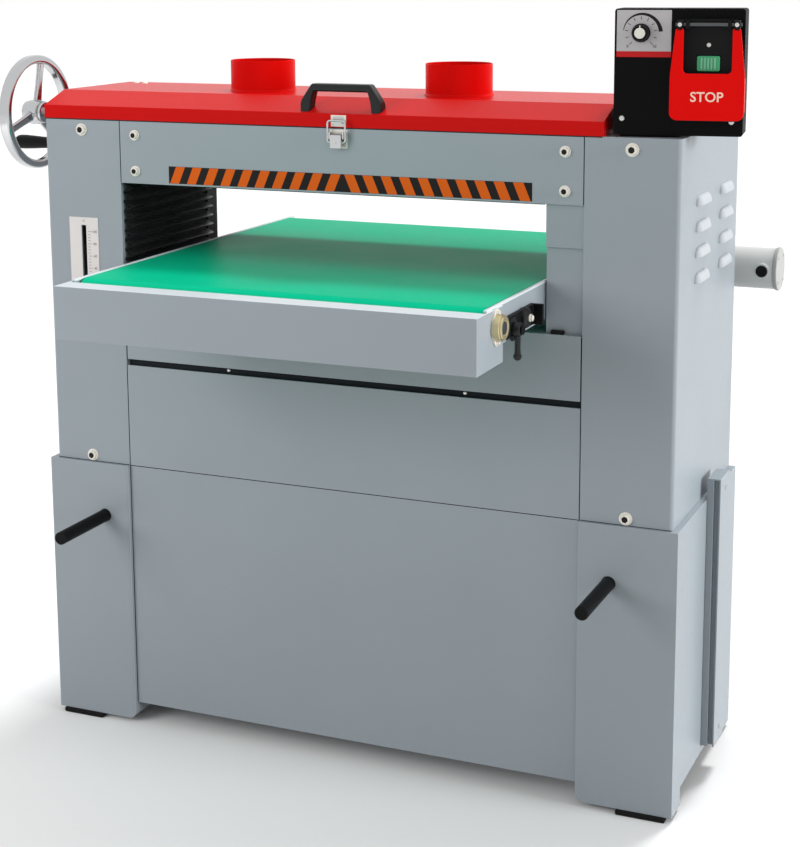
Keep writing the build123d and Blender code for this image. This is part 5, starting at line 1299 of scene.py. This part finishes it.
class SANDER_OT_lift(PieceOperator, bpy.types.Operator):
    """Height scale, bellows, lift screws, chain and handwheel"""

    bl_idname = "sander.lift"
    bl_label = "Lift"

    def build(self, sizes):
        self.scale(sizes.tick_step)
        self.bellows(sizes.pleats)
        skin("lift_bushes", ["cast_iron"], 0.8)
        self.chain()
        self.screws(sizes.thread_pitch)
        self.wheel()
        self.grip()

    def scale(self, step):
        """The height scale with its marks, numbers and screws."""
        skin("scale_plate", ["scale_white"], 0.35)
        low, high = extent("scale_plate")
        x, face = middle("scale_plate")[0], low.y
        bottom, top = 734.0, 834.0
        every, value = 4, 20
        fine, coarse, words = [], [], []
        for i in range(int((top - bottom) / step) + 1):
            z = bottom + i * step
            if i % every:
                fine.append(((x + 10.0, face, z), FACE_FRONT))
            else:
                coarse.append(((x + 11.5, face, z), FACE_FRONT))
                words.append(moved(lettering(str(i // every * value), 4.4, 0.2), (x + 20.5, face - 0.1, z)))
        for name, wide, spots in (("scale_fine_marks", 5.0, fine), ("scale_long_marks", 8.0, coarse)):
            mark = bmesh.new()
            block(mark, (-wide / 2, -0.35, -0.05), (wide / 2, 0.35, 0.2))
            repeat(name, mark, spots, "scale_print", "frame", "red_plastic")
        make("scale_numbers", joined(words), "scale_print", "frame", "black_plastic")
        spots = [((x, face, z), FACE_FRONT) for z in (low.z + 3.2, high.z - 6.0)]
        repeat("scale_screws", pan_screw(2.2, 1.3), spots, "zinc", "frame", "zinc")

    def bellows(self, pleats):
        """Pleated covers on both sides of the bay, and their end strips."""
        bottom, top, back = 745.4, 915.8, 269.0
        wall, deep, sheet = 384.0, 16.0, 1.4
        for side, front, name in ((-1, 6.0, "left_bellows"), (1, 20.0, "right_bellows")):
            mesh = grown("Pleated Cover", {
                "Length": (back - front) * MM, "Height": (top - bottom) * MM, "Depth": -side * deep * MM,
                "Pleats": pleats, "Finish": finish("bellows_cloth")})
            bm = bmesh.new()
            bm.from_mesh(mesh)
            bmesh.ops.solidify(bm, geom=bm.faces[:], thickness=sheet * MM)
            spot = Vector((side * wall, (front + back) / 2, (bottom + top) / 2))
            bm.transform(Matrix.Translation(HOME + spot * MM))
            bmesh.ops.recalc_face_normals(bm, faces=bm.faces)
            rim = len(mesh.materials)
            for face in bm.faces:
                if abs(face.normal.y) > 0.9:
                    face.material_index = rim
            bm.to_mesh(mesh)
            bm.free()
            piece = settle(name, mesh, ["black_rubber"], "frame", "bellows_black", ["bellows"], 80.0)
            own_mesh(piece)
        bm = bmesh.new()
        for x0, x1 in both_sides(380.0, 385.0):
            block(bm, (x0, 270.0, 725.2), (x1, 304.0, 916.0))
        ease(bm, 0.8)
        make("bellows_end_strips", bm, "black_metal", "frame", "bellows_black")

    def chain(self):
        """Links of the chain that joins the four lift screws, on a path with round corners."""
        pitch, bend, z = 12.7, 21.5, 474.0
        reach_y = (REAR_LIFT_Y - FRONT_LIFT_Y) / 2
        centre_y = (REAR_LIFT_Y + FRONT_LIFT_Y) / 2
        runs = (2 * LIFT_X, 2 * reach_y)
        arc = math.pi * bend / 2
        total = 2 * sum(runs) + 4 * arc
        count = int(total / pitch)
        spots = []
        for i in range(count):
            travel = i * total / count
            for turn, (sx, sy) in enumerate(((-1, -1), (1, -1), (1, 1), (-1, 1))):
                run = runs[turn % 2]
                heading = turn * QUARTER
                ahead = Vector((math.cos(heading), math.sin(heading), 0.0))
                out = Vector((ahead.y, -ahead.x, 0.0))
                start = Vector((sx * LIFT_X, centre_y + sy * reach_y, z))
                if travel < run:
                    spots.append((start + out * bend + ahead * travel, (0.0, 0.0, heading)))
                    break
                travel -= run
                if travel < arc:
                    angle = heading + travel / bend
                    around = Vector((math.sin(angle), -math.cos(angle), 0.0))
                    spots.append((start + ahead * run + around * bend, (0.0, 0.0, angle)))
                    break
                travel -= arc
        link = bmesh.new()
        for x in (-pitch / 4, pitch / 4):
            turned(link, [(-2.4, 2.6), (2.4, 2.6)], (x, 0, 0), steps=10)
        for bottom in (-3.6, 2.6):
            block(link, (-pitch / 2 + 0.2, -2.6, bottom), (pitch / 2 - 0.2, 2.6, bottom + 1.0))
        repeat("lift_chain_links", link, spots, "steel", "frame", "steel", ["lift_chain"])

    def screws(self, pitch):
        """Lift screws with a wound ridge for their thread, cast sprockets and, on one, a bevel gear."""
        start, end = 480.0, 930.0
        core, root, ridge = 10.2, 9.75, 0.7
        for node in ("front_left_screw", "front_right_screw", "rear_left_screw", "rear_right_screw"):
            x = math.copysign(LIFT_X, extent(node)[0].x)
            y = FRONT_LIFT_Y if node.startswith("front") else REAR_LIFT_Y

            def pick(spot, normal, x=x, y=y):
                return int(math.hypot(spot.x - x, spot.y - y) > core)
            skin(node, ["steel", "cast_iron"], 0.4, pick=pick)
            place = Matrix.Translation(HOME + Vector((x, y, start)) * MM)
            wound(node + "_thread", "steel", node, "steel", end - start, pitch, root, ridge, place)

    def wheel(self):
        """The cast handwheel with its spokes, hub, nut, shaft, crank pin and bevel gear."""
        x, y, z = -590.0, FRONT_LIFT_Y, 1018.0
        centre, radius = (x, y, z), 87.0
        bm = bmesh.new()
        rim = [(u, radius + v) for u, v in rounded_rectangle(20.0, 14.0, 5.6, 5)]
        turned(bm, rim, centre, ALONG_X, 96, closed=True)
        scales = [(1.1, 1.15), (1.05, 1.1), (0.9, 0.95), (0.85, 0.92), (0.95, 1.0), (1.1, 1.1)]
        for degrees in (78.0, 198.0, 318.0):
            angle = math.radians(degrees)
            ahead = Vector((0.0, math.cos(angle), math.sin(angle)))
            path = [Vector(centre) + ahead * reach for reach in (12.0, 24.0, 45.0, 66.0, 78.0, 84.0)]
            swept(bm, path, rounded_rectangle(9.0, 15.0, 4.2), scales, up=ALONG_X)
        hub = [(-19, 15), (-17.5, 17.5), (-14, 18.5), (-6, 20), (6, 20), (14, 18.5), (17.5, 17.5), (19, 15)]
        turned(bm, hub, centre, ALONG_X)
        turned(bm, [(-23.5, 5.0), (-22.0, 7.2), (-19.0, 7.6)], centre, ALONG_X, 6)
        turned(bm, [(19.0, 8.0), (135.0, 8.0)], centre, ALONG_X, 32)
        angle = math.radians(-42.0)
        pin = (0.0, y + radius * math.cos(angle), z + radius * math.sin(angle))
        turned(bm, [(-679.4, 6.4), (-678.6, 8.0), (-676.6, 8.0), (-676.4, 5.0), (-604.0, 5.0), (-602.6, 8.4),
                    (-600.0, 8.4)], pin, ALONG_X, 32)
        turned(bm, [(135.0, 23.4), (147.0, 11.4)], centre, ALONG_X, 24)
        make("handwheel_cast", bm, "chrome", "handwheel", "chrome", ["handwheel"], smooth=45.0)

    def grip(self):
        """The crank's turned grip."""
        x = extent("crank_grip")[0].x
        y, z = middle("crank_grip")[1:]
        profile = [(0, 6.0), (0.6, 8.4), (2.4, 10.6), (8, 11.9), (18, 12.0), (34, 11.2), (48, 10.2),
                   (60, 9.6), (66, 9.8), (69.5, 10.4), (72, 9.6), (73, 7.6)]
        bm = bmesh.new()
        turned(bm, profile, (x, y, z), ALONG_X, 40)
        make("crank_grip_handle", bm, "black_plastic", "crank_grip", "black_plastic", ["crank_grip"],
             smooth=50.0)


class SANDER_OT_drive(PieceOperator, bpy.types.Operator):
    """Main motor, pulley and belts"""

    bl_idname = "sander.drive"
    bl_label = "Drive"

    def build(self, sizes):
        skin("main_motor", ["cast_iron"], 2.0)
        skin("motor_pulley", ["cast_iron"], 0.8)
        skin("drive_belts", ["black_rubber"], 0.6)
        x, y, z = 250.0, 185.0, 200.0
        radius, count = 87.0, 26
        fins = []
        for i in range(count):
            angle = math.radians(360.0 * i / count)
            if math.sin(angle) < -0.7:
                continue
            spot = (x, y + radius * math.cos(angle), z + radius * math.sin(angle))
            fins.append((spot, (angle, 0.0, 0.0)))
        rib = bmesh.new()
        block(rib, (-95.0, -2.0, -1.6), (95.0, 9.0, 1.6))
        ease(rib, 0.6)
        repeat("motor_fins", rib, fins, "cast_iron", "frame", "cast_iron")


class SANDER_OT_bars(PieceOperator, bpy.types.Operator):
    """Sliding bars that the machine is lifted by"""

    bl_idname = "sander.bars"
    bl_label = "Lifting bars"

    def build(self, sizes):
        for node in ("left_bar", "right_bar"):
            skin(node, ["black_metal"], 0.5, smooth=40.0)


class SANDER_OT_controls(PieceOperator, bpy.types.Operator):
    """Control box with its dial, switch, buttons and stop flap"""

    bl_idname = "sander.controls"
    bl_label = "Controls"

    def build(self, sizes):
        skin("control_box", ["black_paint"], 1.2, segments=3)
        skin("switch_base", ["switch_plastic"], 1.0)
        skin("stop_button", ["flap_plastic"], 0.8)
        skin("flap_rod", ["dark_steel"], 0.5)
        self.flap()
        self.dial()
        self.knob()
        self.start()
        self.words()
        self.fasteners()

    def flap(self):
        """The stop flap: a rounded plate with two ears, side walls and dark hinge lugs."""
        front, sheet = -30.0, 3.0
        low, cut, ear = 24.0, 88.5, 150.0
        wide, narrow, slot = 51.0, 44.4, 33.0
        corner, bend = 11.0, 6.0

        def arc(u, v, radius, degrees):
            turns = [math.radians(value) for value in degrees]
            return [(u - radius * (1 - math.cos(turn)), v + radius * (1 - math.sin(turn))) for turn in turns]
        right = arc(wide, low, corner, (90, 75, 60, 45, 30, 15, 0))
        right += [(wide, cut - 6.0), (wide - 0.4, cut), (wide - 1.2, cut + 8.0), (narrow + 0.3, ear - 6.0),
                  (narrow - 0.5, ear - 1.6), (narrow - 2.2, ear), (slot + 1.6, ear), (slot, ear - 1.6)]
        right += arc(slot, cut, bend, (0, 22, 45, 68, 90))
        outline = [(SWITCH_X + u, v) for u, v in right] + [(SWITCH_X - u, v) for u, v in reversed(right)]
        bm = bmesh.new()
        prism(bm, outline, "Y", front, front + sheet)
        ease(bm, 1.1, 3, 40.0)
        for x0, x1 in both_sides(wide - 2.4, wide, SWITCH_X):
            block(bm, (x0, front + 1.4, low + corner + 1.0), (x1, front + 11.0, cut - 6.0))
        make("stop_flap_plate", bm, "flap_plastic", "stop_flap", "red_plastic", ["stop_flap"], TO_BOX)
        outline = [(front, 146.5), (front, 158.0), (front + 2.5, 161.0), (-19.0, 161.0), (-15.8, 158.0),
                   (-15.8, 150.5), (-18.5, 147.5), (front + 3.2, 146.5)]
        bm = bmesh.new()
        for x0, x1 in both_sides(34.4, 42.8, SWITCH_X):
            prism(bm, outline, "X", x0, x1)
        ease(bm, 0.8)
        make("stop_flap_lugs", bm, "switch_plastic", "stop_flap", "black_plastic", place=TO_BOX)

    def dial(self):
        """The dial's plate, its coloured band, widening arc, marks and numbers."""
        left, right, bottom, top = 3.0, 79.0, 109.0, 174.0
        plate, print_back, print_front = -0.6, -0.55, -0.85
        bm = bmesh.new()
        block(bm, (left, plate, bottom), (right, 0.0, top))
        ease(bm, 0.25, 1)
        make("dial_plate", bm, "dial_silver", "frame", "aluminium", place=TO_BOX)
        bm = bmesh.new()
        block(bm, (left, print_front, bottom), (right, print_back, bottom + 8.0))
        make("dial_band", bm, "red_print", "frame", "red_plastic", place=TO_BOX)

        def ring_spot(radius, angle):
            return DIAL_X + radius * math.cos(angle), DIAL_Z + radius * math.sin(angle)
        steps = 40
        inner, outer = [], []
        for i in range(steps + 1):
            angle = math.radians(172.0 - 168.0 * i / steps)
            inner.append(ring_spot(24.5, angle))
            outer.append(ring_spot(25.2 + 5.0 * i / steps, angle))
        bm = bmesh.new()
        for i in range(steps):
            prism(bm, [inner[i], outer[i], outer[i + 1], inner[i + 1]], "Y", print_front, print_back)
        make("dial_arc", bm, "black_print", "frame", "black_plastic", place=TO_BOX)
        spots = []
        for i in range(11):
            angle = math.radians(225.0 - 27.0 * i)
            x, z = ring_spot(20.5, angle)
            spots.append(((x, plate, z), (QUARTER, -angle, 0.0)))
        mark = bmesh.new()
        block(mark, (-2.2, -0.4, -0.05), (2.2, 0.4, 0.25))
        repeat("dial_marks", mark, spots, "black_print", "frame", "black_plastic", place=TO_BOX)
        words = []
        for text, degrees in (("0", 225.0), ("10", -45.0)):
            x, z = ring_spot(26.5, math.radians(degrees))
            words.append(moved(lettering(text, 4.2, 0.3), (x, -0.7, z)))
        make("dial_numbers", joined(words), "black_print", "frame", "black_plastic", place=TO_BOX)

    def knob(self):
        """The speed knob: a fluted grip on its spindle, and a pale cap with a pointer."""
        steps, flutes = 96, 24.0
        rings = []
        for reach, radius, depth in ((-1.0, 13.0, 0.0), (-4.0, 13.0, 0.0), (-4.6, 12.2, 0.5),
                                     (-14.6, 11.2, 0.5), (-16.0, 10.0, 0.0)):
            ring = []
            for i in range(steps):
                angle = 2.0 * math.pi * i / steps
                wave = radius - depth * (1.0 + math.cos(angle * flutes)) / 2.0
                ring.append((DIAL_X + wave * math.cos(angle), reach, DIAL_Z + wave * math.sin(angle)))
            rings.append(ring)
        centre = (DIAL_X, 0, DIAL_Z)
        bm = bmesh.new()
        loft(bm, rings)
        turned(bm, [(-1.2, 3.0), (8.0, 3.0)], centre, ALONG_Y, 20)
        make("speed_knob_grip", bm, "black_plastic", "speed_knob", "black_plastic", ["speed_knob"], TO_BOX)
        bm = bmesh.new()
        turned(bm, [(-15.8, 7.5), (-16.5, 7.5), (-16.9, 6.9), (-17.0, 5.6)], centre, ALONG_Y, 40)
        block(bm, (DIAL_X - 0.7, -16.3, DIAL_Z + 7.0), (DIAL_X + 0.7, -15.6, DIAL_Z + 10.6))
        make("speed_knob_cap", bm, "white_print", "speed_knob", "scale_white", place=TO_BOX)

    def start(self):
        """The start button and the pale ribs on it."""
        skin("start_button", ["start_plastic"], 1.2, segments=3)
        half = 1.2
        bm = bmesh.new()
        for dx in (-9.0, -4.5, 0.0, 4.5, 9.0):
            x = SWITCH_X + dx
            block(bm, (x - half, -17.6, 93.5), (x + half, -16.4, 109.5))
        ease(bm, 0.5)
        make("start_button_ribs", bm, "start_ribs", "start_button", "green_plastic", place=TO_BOX)

    def words(self):
        bm = moved(lettering("STOP", 13.5, 0.6, 0.26), (SWITCH_X, -30.2, 56.0))
        make("stop_words", bm, "stop_print", "stop_flap", "scale_white", place=TO_BOX)

    def fasteners(self):
        spots = [((x, 0.0, z), FACE_FRONT) for x, z in ((12.0, 23.0), (164.0, 20.5))]
        repeat("box_screws", pan_screw(4.0, 2.4, 0.9), spots, "zinc", "frame", "zinc", place=TO_BOX)
        spots = [((SWITCH_X, -14.0, 127.0), FACE_FRONT)]
        repeat("switch_screw", pan_screw(3.2, 2.0, 0.7), spots, "zinc", "frame", "zinc", place=TO_BOX)
        spots = [((SWITCH_X + side * 38.6, -30.0, 155.0), FACE_FRONT) for side in (-1, 1)]
        repeat("flap_pin_heads", pan_screw(3.0, 1.6), spots, "zinc", "stop_flap", "zinc", place=TO_BOX)


class SANDER_PT_sidebar(bpy.types.Panel):
    """The sander's pieces, sizes and colours"""

    bl_idname = "SANDER_PT_sidebar"
    bl_label = "Drum Sander"
    bl_space_type = "VIEW_3D"
    bl_region_type = "UI"
    bl_category = "Sander"

    def draw(self, context):
        for operator in OPERATORS:
            self.layout.operator(operator.bl_idname)
        for name, group in SETTINGS:
            for key in group.__annotations__:
                self.layout.prop(getattr(context.scene, name), key)


OPERATORS = (SANDER_OT_stage, SANDER_OT_stand, SANDER_OT_head, SANDER_OT_hood, SANDER_OT_table,
             SANDER_OT_lift, SANDER_OT_drive, SANDER_OT_bars, SANDER_OT_controls)
SETTINGS = (("sander_sizes", SanderSizes), ("sander_colours", SanderColours), ("sander_stage", SanderStage))


def register():
    for name, group in SETTINGS:
        bpy.utils.register_class(group)
        setattr(bpy.types.Scene, name, PointerProperty(type=group))
    for item in (*OPERATORS, SANDER_PT_sidebar):
        bpy.utils.register_class(item)


def unregister():
    for item in (SANDER_PT_sidebar, *reversed(OPERATORS)):
        bpy.utils.unregister_class(item)
    for name, group in reversed(SETTINGS):
        delattr(bpy.types.Scene, name)
        bpy.utils.unregister_class(group)


def main():
    register()
    bpy.ops.sander.stage()
    bpy.ops.sander.stand()
    bpy.ops.sander.head()
    bpy.ops.sander.hood()
    bpy.ops.sander.table()
    bpy.ops.sander.lift()
    bpy.ops.sander.drive()
    bpy.ops.sander.bars()
    bpy.ops.sander.controls()


if __name__ == "__main__":
    main()
